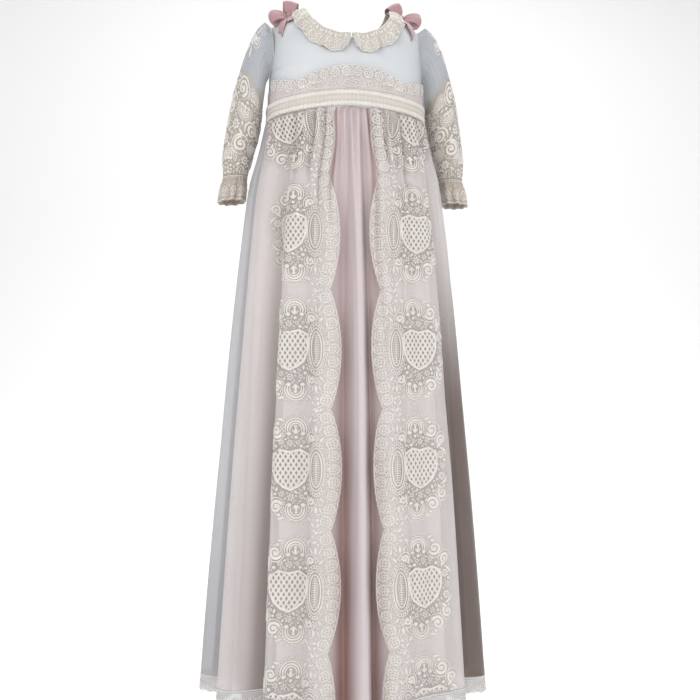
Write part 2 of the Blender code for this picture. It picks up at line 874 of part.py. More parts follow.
def make_sash():
    """The pink sash round the waist, open at the centre back."""

    def place(degrees, share):
        end = 180.0 - math.degrees(SEAM / 2 / 0.066)
        degrees = min(max(degrees, -end), end)
        return band_point(degrees, share, sash_top(degrees), TRIM_BOTTOM_Z, GAP)

    bands = [(-180.0, 180.0, 1.0, 0.0, BODY_COLUMNS, 1)]
    sheet_object("waist_sash", bands, place, "pink_satin", SASH_WALL, outwards=True)


def waist_lace_top(degrees):
    """Height of the waist lace's scalloped upper edge: one whole scallop between two halves."""
    arc = math.radians(degrees) * 0.085
    return WAIST_LACE_NOTCH_Z + SCALLOP_DEPTH * scallop(arc)


def make_waist_lace():
    """The scalloped lace that is laid sideways over the front of the sash."""
    out = SASH_WALL + 2 * GAP

    def place(degrees, share):
        bottom = BRAID_TOP_Z + GAP
        return band_point(degrees, share, waist_lace_top(degrees), bottom, out)

    bands = [(-WAIST_LACE_END, WAIST_LACE_END, 1.0, 0.0, 28, 1)]
    sheet_object("waist_lace", bands, place, "ivory_lace", SASH_WALL, outwards=True)


def make_braid():
    """The ivory braid over the waist seam, with a raised cord along each edge."""
    inner = SASH_WALL + 2 * GAP
    profile = [(BRAID_TOP_Z - down, inner + thick) for down, thick in BRAID]
    profile += [(BRAID_TOP_Z - BRAID[-1][0], inner), (BRAID_TOP_Z, inner)]
    end = 180.0 - math.degrees(SEAM / 2 / 0.066)
    mesh = bmesh.new()
    bmesh.ops.create_grid(mesh, x_segments=BODY_COLUMNS, y_segments=len(profile), size=0.5)
    for vertex in mesh.verts:
        degrees = min(max(vertex.co.x * 360.0, -end), end)
        z, out = profile[round((0.5 - vertex.co.y) * len(profile)) % len(profile)]
        vertex.co = torso_point(math.radians(degrees), z, out)
    bmesh.ops.remove_doubles(mesh, verts=mesh.verts, dist=0.00001)
    bmesh.ops.holes_fill(mesh, edges=[e for e in mesh.edges if e.is_boundary], sides=0)
    bmesh.ops.triangulate(mesh, faces=[f for f in mesh.faces if len(f.verts) > 4])
    bmesh.ops.recalc_face_normals(mesh, faces=mesh.faces)
    data = bpy.data.meshes.new("waist_braid")
    mesh.to_mesh(data)
    mesh.free()
    add_object("waist_braid", data, "ivory_lace")


# Bows


def bow_axes():
    """Directions of a bow: sideways, up its tilted plane, and out of it towards the front."""
    tilt = math.radians(BOW_TILT)
    side = Vector((1.0, 0.0, 0.0))
    up = Vector((0.0, math.cos(tilt), math.sin(tilt)))
    return side, up, side.cross(up).normalized()


def in_bow(sideways, upwards, outwards):
    """A point of the right-hand bow, from its knot."""
    side, up, out = bow_axes()
    return Vector(BOW_KNOT) + side * sideways + up * upwards + out * outwards


# Loops: name, direction in degrees, distance of the start, length, ribbon half width, half height
BOW_LOOPS = (
    ("loop_inner", 96.0, 0.0056, 0.0225, 0.0080, 0.0050),
    ("loop_outer", -6.0, 0.0044, 0.0230, 0.0085, 0.0045),
)
# Tails on the bodice: name, x and y where they start and end, ribbon half width
BOW_TAILS = (
    ("tail_inner", 0.0760, -0.0198, 0.0755, -0.0350, 0.0040),
    ("tail_outer", 0.0838, -0.0180, 0.0868, -0.0325, 0.0042),
)


def along_bow(direction, reach, sideways, outwards):
    """A point at a distance from the knot in a direction of the bow's plane."""
    turn = math.radians(direction)
    right = reach * math.cos(turn) - sideways * math.sin(turn)
    upwards = reach * math.sin(turn) + sideways * math.cos(turn)
    return in_bow(right, upwards, outwards)


def loop_point(loop, share, across):
    """A point of a ribbon loop, which leaves the knot and comes back to it."""
    _, direction, start, length, half_width, half_height = loop
    turn = 2 * math.pi * share
    reach = start + length * (1.0 - math.cos(turn)) / 2
    swell = math.sin(math.pi * share)
    outwards = half_height * math.sin(turn) * swell * 1.3 + 0.0014 * math.cos(turn / 2)
    width = 0.0035 + (half_width - 0.0035) * swell**0.7
    return along_bow(direction, reach, across * width, outwards)


def shoulder_point(x, y):
    """A point of the bodice's front near the shoulder, above this x and y."""
    _, half_width, front, _ = TORSO[1]
    depth = front * (1.0 - (x / half_width) ** TORSO_POWER) ** (1.0 / TORSO_POWER)
    drop = SHOULDER_ROLL * (1.0 - math.sqrt(1.0 - (y / depth) ** 2))
    return Vector((x, y, shoulder_z(x) - drop))


def tail_point(tail, share, across):
    """A point of a ribbon tail, which lies down over the bodice and ends in a slant."""
    _, start_x, start_y, end_x, end_y, half_width = tail
    reach = share * (1.0 + 0.20 * across * share)
    x = start_x + (end_x - start_x) * reach
    y = start_y + (end_y - start_y) * reach
    step = 0.0005
    point = shoulder_point(x, y)
    forward = shoulder_point(x, y - step) - point
    sideways = shoulder_point(x + step, y) - point
    normal = forward.cross(sideways).normalized()
    along = Vector((end_x - start_x, end_y - start_y, 0.0))
    along = (along - normal * along.dot(normal)).normalized()
    width = 0.0030 + (half_width - 0.0030) * math.sqrt(share)
    return point + along.cross(normal) * (across * width) + normal * TAIL_LIFT


def make_bows():
    """A ribbon bow on each shoulder: two loops, two tails and a knot."""
    for side_name, flip in (("right", False), ("left", True)):

        def placed(point, flip=flip):
            return mirrored(point) if flip else point

        ribbons = [(loop, loop_point, 10) for loop in BOW_LOOPS]
        ribbons += [(tail, tail_point, 4) for tail in BOW_TAILS]
        for ribbon, ribbon_point, columns in ribbons:

            def place(share, across, ribbon=ribbon, ribbon_point=ribbon_point):
                return placed(ribbon_point(ribbon, share, across * 2 - 1))

            piece = sheet_object(
                f"bow_{side_name}_{ribbon[0]}",
                [(0.0, 1.0, 0.0, 1.0, columns, 2)],
                place,
                "rose_ribbon",
                RIBBON_WALL,
            )
            if flip:
                piece.data.flip_normals()
        mesh = bmesh.new()
        bmesh.ops.create_uvsphere(mesh, u_segments=10, v_segments=6, radius=0.5)
        for vertex in mesh.verts:
            size = [c * s for c, s in zip(vertex.co, KNOT_SIZE)]
            vertex.co = placed(in_bow(size[0], size[1], size[2]))
        bmesh.ops.recalc_face_normals(mesh, faces=mesh.faces)
        data = bpy.data.meshes.new(f"bow_{side_name}_knot")
        mesh.to_mesh(data)
        mesh.free()
        add_object(f"bow_{side_name}_knot", data, "rose_ribbon")


# Buttons


def make_buttons():
    """Small round buttons down the centre back."""
    for number in range(BUTTON_COUNT):
        z = FIRST_BUTTON_Z - BUTTON_PITCH * number
        seat = torso_point(angle_at(BUTTON_SIDE, z, back=True), z)
        normal = torso_normal(seat)
        mesh = bmesh.new()
        bmesh.ops.create_cone(
            mesh,
            cap_ends=True,
            segments=14,
            radius1=BUTTON_RADIUS,
            radius2=BUTTON_RADIUS * 0.82,
            depth=BUTTON_THICKNESS,
        )
        data = bpy.data.meshes.new(f"button_{number + 1}")
        mesh.to_mesh(data)
        mesh.free()
        button = add_object(f"button_{number + 1}", data, "pearl_button")
        button.location = seat + normal * (BUTTON_THICKNESS / 2 + GAP + 0.0001)
        button.rotation_euler = normal.to_track_quat("Z", "Y").to_euler()


def build_gown():
    """Makes every piece of the gown."""
    clear_scene()
    make_bodice()
    make_sash()
    make_waist_lace()
    make_braid()
    make_skirt_panel("underskirt_front", UNDERSKIRT, -SIDE_SEAM, SIDE_SEAM, LINING_HEM_Z, "pink_satin")
    back_end = 360.0 - SIDE_SEAM
    make_skirt_panel(
        "underskirt_back", UNDERSKIRT, SIDE_SEAM, back_end, LINING_HEM_Z, "pink_satin", FOLD_STEP
    )
    make_overskirt_fronts()
    make_skirt_panel("overskirt_back", OVERSKIRT, SIDE_SEAM, back_end, HEM_SEAM_Z, "net")
    make_hem_lace()
    make_sleeves()
    make_cuff_frills()
    make_collar()
    make_bows()
    make_buttons()


build_gown()
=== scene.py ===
"""Dresses a baby's lace gown: net skirts with raised lace over a satin lining, ruffles, sash and bows.

Every cloth is a thin sheet laid on the shape of the solid that it replaces. The lace is drawn flat, as
cords and filled stitches in millimetres, and then laid on its cloth. Metres, +Z up, front towards -Y.
"""

import math
import random

import bmesh
import bpy
import numpy as np
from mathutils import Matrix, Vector


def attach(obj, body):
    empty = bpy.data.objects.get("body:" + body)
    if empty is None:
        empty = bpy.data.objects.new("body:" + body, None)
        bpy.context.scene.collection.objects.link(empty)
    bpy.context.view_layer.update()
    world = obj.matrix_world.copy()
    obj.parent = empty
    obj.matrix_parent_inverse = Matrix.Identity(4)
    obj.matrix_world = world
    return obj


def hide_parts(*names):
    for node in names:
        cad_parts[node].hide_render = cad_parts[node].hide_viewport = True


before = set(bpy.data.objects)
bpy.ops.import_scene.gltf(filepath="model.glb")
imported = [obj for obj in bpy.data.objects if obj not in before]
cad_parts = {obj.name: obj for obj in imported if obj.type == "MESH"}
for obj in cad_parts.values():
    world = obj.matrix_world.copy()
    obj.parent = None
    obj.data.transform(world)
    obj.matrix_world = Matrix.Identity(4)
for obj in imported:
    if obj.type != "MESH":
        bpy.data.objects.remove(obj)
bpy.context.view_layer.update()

bl_info = {
    "name": "Lace Gown",
    "version": (1, 0, 0),
    "blender": (4, 5, 0),
    "location": "3D View > Sidebar > Lace Gown",
    "description": "Makes the cloth, lace and bows of a baby's lace gown",
    "category": "Object",
}

# The lining's hem, a little lower than its solid's, so that the hem lace is seen against it
LINING_HEM_Z = -0.9085

# Shape of the solids, in metres
GAP = 0.0003
SEAM = 0.0005
WAIST_Z = -0.1355
SKIRT_TOP_Z = WAIST_Z - GAP
HEM_SEAM_Z = -0.8825
HEM_Z = -0.9050
SHOULDER_RISE = 0.004
SHOULDER_SLOPE = 0.42
SHOULDER_ROLL = 0.045
NECK_HALF_WIDTH = 0.0575
NECK_POWER = 2.3
FRONT_NECK_Z = -0.044
BACK_NECK_Z = -0.012
UNDERARM_Z = -0.083
ARMHOLE_ANGLE = 17.0

# Bodice rows below the underarm, and those above it: degrees round the armhole, and round the neck edge.
# Each step of the table is made in parts.
LOWER_ROWS = 6
UPPER_ROW_PARTS = 3
UPPER_ROWS = (
    (150.0, -1.0),
    (120.0, 0.0),
    (92.0, 24.0),
    (68.0, 46.0),
    (47.0, 64.0),
    (30.0, 77.0),
    (15.0, 85.5),
    (0.0, 90.0),
)

# Body section: height, half width, front depth, back depth
TORSO = (
    (0.010, 0.1000, 0.0660, 0.0600),
    (-0.020, 0.1000, 0.0660, 0.0620),
    (-0.070, 0.1030, 0.0730, 0.0650),
    (-0.140, 0.1046, 0.0752, 0.0662),
)
TORSO_POWER = 2.6

# Outer limit of each skirt: height, half width, front depth, back depth, power of the oval
OVERSKIRT = (
    (-0.1355, 0.1090, 0.0795, 0.0705, 2.60),
    (-0.1790, 0.1190, 0.0900, 0.0810, 2.40),
    (-0.2200, 0.1300, 0.0990, 0.0900, 2.25),
    (-0.2720, 0.1375, 0.1080, 0.0990, 2.15),
    (-0.3930, 0.1516, 0.1230, 0.1150, 2.05),
    (-0.5250, 0.1650, 0.1340, 0.1280, 2.00),
    (-0.6560, 0.1770, 0.1430, 0.1390, 2.00),
    (-0.7870, 0.1880, 0.1500, 0.1480, 2.00),
    (-0.9050, 0.1970, 0.1560, 0.1560, 2.00),
)
UNDERSKIRT = (
    (-0.1355, 0.1050, 0.0755, 0.0665, 2.60),
    (-0.1790, 0.1135, 0.0845, 0.0755, 2.40),
    (-0.2200, 0.1230, 0.0920, 0.0830, 2.25),
    (-0.2720, 0.1290, 0.1000, 0.0910, 2.15),
    (-0.3930, 0.1380, 0.1140, 0.1050, 2.05),
    (-0.5250, 0.1440, 0.1245, 0.1160, 2.00),
    (-0.6560, 0.1490, 0.1330, 0.1250, 2.00),
    (-0.7870, 0.1530, 0.1400, 0.1320, 2.00),
    (-0.9050, 0.1560, 0.1455, 0.1380, 2.00),
)

# Gathers along the waist seam, and the large folds that they fall into
GATHERS = 48
GATHER_DEPTH = 0.0038
GATHER_FALL = 0.150
FOLD_START = 0.060
FOLD_TOP_Z = -0.200
FOLD_POWER = 1.3
# Folds: angle of a ridge, depth of the valley after it near the top, and at the hem
FOLDS = (
    (-174.0, 0.006, 0.034),
    (-152.0, 0.004, 0.036),
    (-131.0, 0.006, 0.038),
    (-110.0, 0.004, 0.036),
    (-89.0, 0.006, 0.036),
    (-66.0, 0.010, 0.046),
    (-40.5, 0.004, 0.010),
    (-19.0, 0.009, 0.032),
    (3.5, 0.009, 0.028),
    (18.5, 0.003, 0.007),
    (52.0, 0.009, 0.040),
    (72.0, 0.005, 0.036),
    (92.0, 0.005, 0.036),
    (114.0, 0.006, 0.034),
    (138.0, 0.004, 0.038),
    (161.0, 0.006, 0.036),
)
# The overskirt's front edges stand off the folds next to them by this share, out to these degrees
EDGE_LIFT = 0.7
EDGE_LIFT_ANGLES = (15.0, 20.0)

# Narrow creases from the waist: degrees, half width in degrees, height at which they end
SHARP_CREASES = (
    (-47.0, 1.6, -0.34),
    (-33.0, 1.4, -0.27),
    (-24.5, 1.5, -0.33),
    (-16.0, 1.5, -0.34),
    (15.8, 1.9, -0.50),
    (29.0, 1.3, -0.24),
    (41.0, 1.6, -0.30),
    (58.0, 1.6, -0.36),
)
SHARP_CREASE_DEPTH = 0.0035
# The waistline hangs this much lower at the sides
WAIST_DROOP = 0.012

# Overskirt fronts: the side seam, and the scalloped edge with its opening's half width at the notches
SIDE_SEAM = 78.75
SCALLOP_PITCH = 0.149
SCALLOP_DEPTH = 0.0145
FIRST_SCALLOP_Z = -0.1515
SCALLOP_POWER = 0.8
OPENING = (
    (-0.1355, 0.0400),
    (-0.2000, 0.0350),
    (-0.4500, 0.0340),
    (-0.7500, 0.0370),
    (-0.9050, 0.0460),
)

# Sleeve rings from the shoulder to the cuff: outer x, z, inner x, z, half depth
SLEEVE = (
    (0.1095, -0.0090, 0.1072, -0.0895, 0.0375),
    (0.1200, -0.0200, 0.1088, -0.0980, 0.0410),
    (0.1315, -0.0420, 0.1102, -0.1090, 0.0425),
    (0.1420, -0.0720, 0.1122, -0.1240, 0.0420),
    (0.1520, -0.1080, 0.1148, -0.1440, 0.0405),
    (0.1595, -0.1470, 0.1190, -0.1680, 0.0370),
    (0.1655, -0.1860, 0.1270, -0.1950, 0.0310),
    (0.1655, -0.2165, 0.1325, -0.2155, 0.0215),
)
SLEEVE_SWING = 0.012
SLEEVE_GATHERS = 22
SLEEVE_GATHER_DEPTH = 0.0017
# Cuff frill rings: outer x, z, inner x, z, half depth, wave
FRILL = (
    (0.1655, -0.2171, 0.1325, -0.2161, 0.0215, 0.0000),
    (0.1690, -0.2320, 0.1340, -0.2310, 0.0245, 0.0012),
    (0.1710, -0.2520, 0.1368, -0.2500, 0.0270, 0.0026),
)
FRILL_WAVES = 9

# Collar ruffle: distance from the neck edge, lift off the bodice, wave
COLLAR = (
    (-0.0002, 0.0017, 0.0000),
    (-0.0036, 0.0042, 0.0006),
    (0.0060, 0.0056, 0.0012),
    (0.0165, 0.0034, 0.0017),
)
COLLAR_WAVES = 10
COLLAR_SHOULDER_WIDTH = 0.66
COLLAR_SHOULDER_FALL = 0.20
COLLAR_SHOULDER_REACH = 0.025
COLLAR_ENDS = (0.0035, 0.992)
COLLAR_FRONT_REACH = 0.0055
COLLAR_NOTCH = 0.024
COLLAR_PETALS = 18
COLLAR_PETAL_PITCH = 10.0

# Waist trims
SASH_TOP_FRONT_Z = -0.0955
SASH_TOP_SIDE_Z = -0.0940
BRAID_TOP_Z = -0.1136
TRIM_BOTTOM_Z = WAIST_Z + GAP
WAIST_LACE_NOTCH_Z = -0.0960
WAIST_LACE_END = 75.0
BRAID_WIDTH = 0.0216

# Shoulder bows: loops by direction in degrees, start, length, ribbon half width, half height
BOW_KNOT = (0.0775, -0.0150, -0.0031)
BOW_TILT = 60.0
BOW_LOOPS = (
    ("loop_inner", 98.0, 0.0050, 0.0205, 0.0108, 0.0066),
    ("loop_outer", -14.0, 0.0040, 0.0240, 0.0106, 0.0060),
)
# The right bow sits nearer the neck, with its inner loop turned further over
BOW_RIGHT_MOVE = (-0.0032, -0.0052, 0.0012)
BOW_RIGHT_TURN = 24.0
# Tails: x and y of the start and end on the bodice, ribbon half width
BOW_TAILS = (
    ("tail_inner", 0.0760, -0.0190, 0.0750, -0.0355, 0.0058),
    ("tail_outer", 0.0830, -0.0175, 0.0875, -0.0370, 0.0082),
)


# Lace: bars of the lattice, and the reaches of the stitches that fill the spaces, tried in turn, in mm
LATTICE_PITCH = 5.6
LATTICE_SLOPE = 56.0
LATTICE_WIDTH = 2.6
FILL_CELL = 0.8
FILL_REACHES = (3.0, 2.4, 1.86, 1.5)
# Step of the cloth charts, in metres
CHART_STEP = 0.001

# Studio: lights by name, place, size and power
LIGHTS = (
    ("key_light", (-1.5, -2.4, 1.2), 1.8, 24.0),
    ("front_light", (-0.2, -2.8, -0.5), 2.4, 22.0),
    ("fill_light", (2.0, -2.0, 0.2), 2.2, 10.0),
    ("backdrop_light", (0.4, 1.3, 2.6), 2.0, 115.0),
)
LIGHT_AIM = (0.0, 0.0, -0.4)
WORLD_STRENGTH = 0.55
CAMERA_PLACE = (-0.1639, -1.3904, -0.451)
CAMERA_TURN = 7.0
SENSOR_WIDTH = 36.0
# The lens's length as a share of the sensor's width
LENS_SHARE = 1025.0 / 700.0
# Backdrop: where its floor starts and ends behind the gown, radius of its bend, height and half width
BACKDROP = (-4.0, 2.2, 1.2, 4.5, 5.0)


# Numbers


def smooth_step(value):
    """0 below 0, 1 above 1, and a smooth rise between."""
    value = np.clip(value, 0.0, 1.0)
    return value * value * (3.0 - 2.0 * value)


def table_at(table, height):
    """The other columns of a table at heights. Its first column falls from row to row."""
    data = np.array(table)
    heights, values = data[:, 0], data[:, 1:]
    height = np.asarray(height, dtype=float)
    last = len(heights) - 1
    after = np.clip(np.searchsorted(-heights, -height), 1, last)
    before = after - 1
    low = np.maximum(np.arange(last + 1) - 1, 0)
    high = np.minimum(np.arange(last + 1) + 1, last)
    slopes = (values[high] - values[low]) / (heights[high] - heights[low])[:, None]
    span = (heights[after] - heights[before])[..., None]
    share = np.clip((height - heights[before])[..., None] / span, 0.0, 1.0)
    cube, square = share**3, share**2
    result = values[before] * (2 * cube - 3 * square + 1)
    result = result + slopes[before] * span * (cube - 2 * square + share)
    result = result + values[after] * (3 * square - 2 * cube)
    result = result + slopes[after] * span * (cube - square)
    return np.moveaxis(result, -1, 0)


def rows_between(table, row):
    """The columns of a table at fractional rows, on a smooth curve through its rows."""
    data = np.array(table)
    count = len(data)
    numbered = np.column_stack([-np.arange(count, dtype=float), data])
    return table_at(numbered, -np.asarray(row, dtype=float))


def oval_radius(angle, half_width, front, back, power):
    """Distance from the axis to a rounded oval, at an angle from the centre front."""
    depth = np.where(np.cos(angle) > 0, front, back)
    across = np.abs(np.sin(angle)) / half_width
    along = np.abs(np.cos(angle)) / depth
    return (across**power + along**power) ** (-1.0 / power)


def round_axis(angle, radius, z):
    """Points at an angle and a distance from the axis."""
    return np.stack(np.broadcast_arrays(radius * np.sin(angle), -radius * np.cos(angle), z), axis=-1)


def distances(points):
    """Distance of each point from the first, along rows of points."""
    steps = np.linalg.norm(np.diff(points, axis=-2), axis=-1)
    return np.concatenate([np.zeros((*steps.shape[:-1], 1)), np.cumsum(steps, axis=-1)], axis=-1)


def mirror_x(points):
    """The same points on the other side of the body."""
    return points * np.array([-1.0, 1.0, 1.0])


# Bodice shape


def shoulder_z(x):
    """Height of the shoulder line at a distance from the centre."""
    return SHOULDER_RISE - SHOULDER_SLOPE * (np.abs(x) - 0.055)


def torso_radius(angle, z):
    """Distance from the axis to the bodice's outer side."""
    return oval_radius(angle, *table_at(TORSO, z), TORSO_POWER)


def torso_point(angle, z, out=0.0):
    """Points of the bodice's outer side, which rolls back to the shoulder line at its top."""
    points = round_axis(angle, torso_radius(angle, z) + out, z)
    drop = np.clip((shoulder_z(points[..., 0]) - z) / SHOULDER_ROLL, 0.0, 1.0)
    points[..., 1] *= np.sqrt(1.0 - (1.0 - drop) ** 2)
    return points


def torso_excess(points):
    """Below 0 inside the bodice's outer side, 0 on it and above 0 outside it."""
    x, y, z = points[..., 0], points[..., 1], points[..., 2]
    half_width, front, back = table_at(TORSO, z)
    depth = np.where(y < 0, front, back)
    depth = depth * (1.0 - np.minimum(np.abs(x) / half_width, 0.999) ** TORSO_POWER) ** (1.0 / TORSO_POWER)
    above = np.maximum(0.0, 1.0 - (shoulder_z(x) - z) / SHOULDER_ROLL)
    return (y / depth) ** 2 + above**2 - 1.0


def torso_normal(points):
    """Outward directions of the bodice at points of its outer side."""
    step = 0.0002
    parts = []
    for axis in range(3):
        move = np.zeros(3)
        move[axis] = step
        parts.append(torso_excess(points + move) - torso_excess(points - move))
    slope = np.stack(parts, axis=-1)
    return slope / np.linalg.norm(slope, axis=-1, keepdims=True)


def angle_at(x, z, back):
    """Angle at which the bodice has this x, on its front or its back."""
    low, high = 0.0, math.pi / 2
    for _ in range(30):
        middle = (low + high) / 2
        turned = math.pi - middle if back else middle
        if torso_radius(turned, z) * math.sin(middle) < x:
            low = middle
        else:
            high = middle
    return math.pi - low if back else low


def neck_edge(turn, back):
    """Angle and height on the neck edge. turn runs from 0 at the centre to 90 at the shoulder."""
    lowest = BACK_NECK_Z if back else FRONT_NECK_Z
    highest = float(shoulder_z(NECK_HALF_WIDTH))
    turn = math.radians(turn)
    x = NECK_HALF_WIDTH * math.sin(turn) ** (2 / NECK_POWER)
    z = highest - (highest - lowest) * abs(math.cos(turn)) ** (2 / NECK_POWER)
    return angle_at(x, z, back), z


def armhole_edge(turn):
    """Angle and height on the armhole. turn runs from 0 at the shoulder, forwards, to 360."""
    highest = float(shoulder_z(TORSO[1][1]))
    middle = (highest + UNDERARM_Z) / 2
    half = (highest - UNDERARM_Z) / 2
    turn = np.radians(turn)
    angle = math.pi / 2 - math.radians(ARMHOLE_ANGLE) * np.sin(turn)
    return angle, middle + half * np.cos(turn)


def upper_row(number):
    """Armhole and neck turns of a bodice row, which may lie between two rows of the table."""
    low = min(int(number), len(UPPER_ROWS) - 2)
    part = number - low
    return [a + (b - a) * part for a, b in zip(UPPER_ROWS[low], UPPER_ROWS[low + 1])]


def bodice_row_ends(back):
    """Both ends of each row of a bodice quarter, as (angle, height), from the waist upwards."""
    centre = math.pi if back else 0.0
    lowest_neck = BACK_NECK_Z if back else FRONT_NECK_Z
    rows = []
    for step in range(LOWER_ROWS):
        risen = step / LOWER_ROWS
        z = WAIST_Z + (UNDERARM_Z - WAIST_Z) * risen
        rows.append(((centre, z), (math.pi / 2, z - WAIST_DROOP * (1.0 - risen))))
    start = armhole_edge(180.0)
    rows.append(((centre, UNDERARM_Z), (float(start[0]), float(start[1]))))
    middle_z = (UNDERARM_Z + lowest_neck) / 2
    for step in range((len(UPPER_ROWS) - 1) * UPPER_ROW_PARTS + 1):
        armhole_turn, neck_turn = upper_row(step / UPPER_ROW_PARTS)
        angle, z = armhole_edge(-armhole_turn if back else armhole_turn)
        if neck_turn < 0:
            inner = (centre, middle_z + (lowest_neck - middle_z) * (1.0 + neck_turn))
        else:
            inner = neck_edge(neck_turn, back)
        rows.append((inner, (float(angle), float(z))))
    return rows


def below_shoulder(angle, z):
    """Distance of places on the bodice under the shoulder line."""
    return shoulder_z(torso_radius(angle, z) * np.sin(angle)) - z


def bodice_points(back, share):
    """Points of a bodice quarter: an array of rows from the waist up, by shares across."""
    grid = []
    for number, (inner, outer) in enumerate(bodice_row_ends(back)):
        angle = inner[0] + (outer[0] - inner[0]) * share
        z = inner[1] + (outer[1] - inner[1]) * share
        if number > LOWER_ROWS:
            wanted = below_shoulder(*inner) * (1.0 - share) + below_shoulder(*outer) * share
            for _ in range(3):
                z = z + below_shoulder(angle, z) - wanted
        grid.append(torso_point(angle, z))
    x = NECK_HALF_WIDTH + (TORSO[1][1] - NECK_HALF_WIDTH) * share
    grid[-1] = np.stack([x, np.zeros_like(x), shoulder_z(x)], axis=-1)
    return np.array(grid)


# Skirt shape


def fold_depth(angle, z):
    """How far the large folds draw the cloth in at these places."""
    folds = np.array(FOLDS)
    degrees = (np.degrees(angle) + 180.0) % 360.0 - 180.0
    index = (np.searchsorted(folds[:, 0], degrees, side="right") - 1) % len(FOLDS)
    ridge, following = folds[index, 0], folds[(index + 1) % len(FOLDS), 0]
    share = ((degrees - ridge) % 360.0) / ((following - ridge) % 360.0)
    valley = (np.sin(math.pi * share) ** 2) ** FOLD_POWER
    fallen = np.clip((FOLD_TOP_Z - z) / (FOLD_TOP_Z - HEM_Z), 0.0, 1.0)
    depth = folds[index, 1] + (folds[index, 2] - folds[index, 1]) * fallen**0.75
    return depth * valley * smooth_step((SKIRT_TOP_Z - z) / FOLD_START)


def gather_depth(angle, z):
    """How far the gathers draw the cloth in. They are uneven, and some run on further down."""
    uneven = angle + 0.014 * np.sin(7.0 * angle + 1.0) + 0.008 * np.sin(17.0 * angle)
    reach = GATHER_FALL * (1.0 + 0.5 * np.sin(9.0 * angle + 2.0))
    strength = 1.0 - smooth_step((SKIRT_TOP_Z - z) / reach)
    return GATHER_DEPTH * strength * ((1.0 - np.cos(GATHERS * uneven)) / 2) ** 0.8


def crease_depth(angle, z):
    """Shallow creases between the large folds, which wander a little on their way down."""
    fallen = SKIRT_TOP_Z - z
    wander = 0.05 * np.sin(4.0 * angle + 5.0 * fallen)
    first = (0.5 + 0.5 * np.cos(29.0 * (angle + wander))) ** 4
    second = (0.5 + 0.5 * np.cos(43.0 * (angle - wander) + 2.0)) ** 6
    reach = smooth_step(fallen / 0.20) * (1.0 - 0.4 * smooth_step((fallen - 0.4) / 0.3))
    return (0.0016 * first + 0.0011 * second) * reach


def sharp_creases(angle, z):
    """1 deep in the narrow creases that fall from the waist, and 0 away from them."""
    degrees = (np.degrees(angle) + 180.0) % 360.0 - 180.0
    total = 0.0
    for centre, width, bottom in SHARP_CREASES:
        fallen = (SKIRT_TOP_Z - z) / (SKIRT_TOP_Z - bottom)
        side = (degrees - centre - 1.2 * np.sin(9.0 * fallen)) / width
        total = total + np.exp(-(side**2)) * (1.0 - smooth_step((fallen - 0.35) / 0.65)) * (fallen < 1.0)
    return np.clip(total, 0.0, 1.0)


def droop(angle):
    """How far the waistline hangs lower at this angle than at the centre front and back."""
    return WAIST_DROOP * np.sin(angle) ** 2


def skirt_point(section, angle, z, gathered=1.0):
    """Points of a skirt's outer side."""
    angle, z = np.broadcast_arrays(np.asarray(angle, float), np.asarray(z, float))
    radius = oval_radius(angle, *table_at(section, z))
    share = 1.0
    if section is OVERSKIRT:
        inner, outer = EDGE_LIFT_ANGLES
        share = 1.0 - EDGE_LIFT * (1.0 - smooth_step((np.abs(np.degrees(angle)) - inner) / (outer - inner)))
        share = np.where(np.cos(angle) > 0, share, 1.0)
    drawn = gathered * gather_depth(angle, z) + fold_depth(angle, z) * share
    drawn = drawn + crease_depth(angle, z) + SHARP_CREASE_DEPTH * sharp_creases(angle, z)
    points = round_axis(angle, radius - drawn, z)
    points[..., 2] -= droop(angle) * (1.0 - smooth_step((SKIRT_TOP_Z - z) / 0.2))
    return points


def scallop(distance):
    """1 in the middle of a scallop and 0 at its notches."""
    return np.abs(np.cos(math.pi * distance / SCALLOP_PITCH)) ** SCALLOP_POWER


def opening_angle(z, scalloped=1.0):
    """Angle in radians of the overskirt's front edge, scalloped or through its notches."""
    half_opening = table_at(OPENING, z)[0] - scalloped * SCALLOP_DEPTH * scallop(z - FIRST_SCALLOP_Z)
    return np.arctan2(half_opening, table_at(OVERSKIRT, z)[1])


# Sleeve shape


def ring_point(columns, turn, wave):
    """Points of a sleeve ring. turn runs from 0 at the outer side, forwards, to 360."""
    outer_x, outer_z, inner_x, inner_z, half_depth = columns
    middle_x, middle_z = (outer_x + inner_x) / 2, (outer_z + inner_z) / 2
    across_x, across_z = (outer_x - inner_x) / 2, (outer_z - inner_z) / 2
    turn = np.radians(turn)
    reach = 1.0 + wave / np.hypot(across_x, across_z)
    swing = SLEEVE_SWING * smooth_step((-0.05 - middle_z) / 0.15)
    x = middle_x + across_x * np.cos(turn) * reach
    y = -half_depth * np.sin(turn) * reach + swing
    z = middle_z + across_z * np.cos(turn) * reach
    return np.stack([x, y, z], axis=-1)


def sleeve_point(turn, row):
    """Points of the right sleeve. row runs from 0 at the armhole to the number of rings."""
    turn, row = np.broadcast_arrays(np.asarray(turn, float), np.asarray(row, float))
    angle, z = armhole_edge(turn)
    head = torso_point(angle, z) + np.array([GAP + 0.0002, 0.0, 0.0])
    uneven = turn + 5.0 * np.sin(np.radians(3.0 * turn + 40.0))
    gathers = (1.0 - np.cos(np.radians(SLEEVE_GATHERS * uneven))) / 2
    reach = 4.2 + 1.6 * np.sin(np.radians(5.0 * turn))
    fade = np.clip(1.0 - (row - 0.4) / reach, 0.0, 1.0)
    cuff = smooth_step((row - 7.0) / 1.0)
    wave = -SLEEVE_GATHER_DEPTH * np.maximum(fade, 0.8 * cuff) * gathers
    columns = rows_between(SLEEVE, np.maximum(row - 1.0, 0.0))
    body = ring_point(columns, turn, wave)
    part = np.clip(row, 0.0, 1.0)[..., None]
    return head * (1.0 - part) + body * part


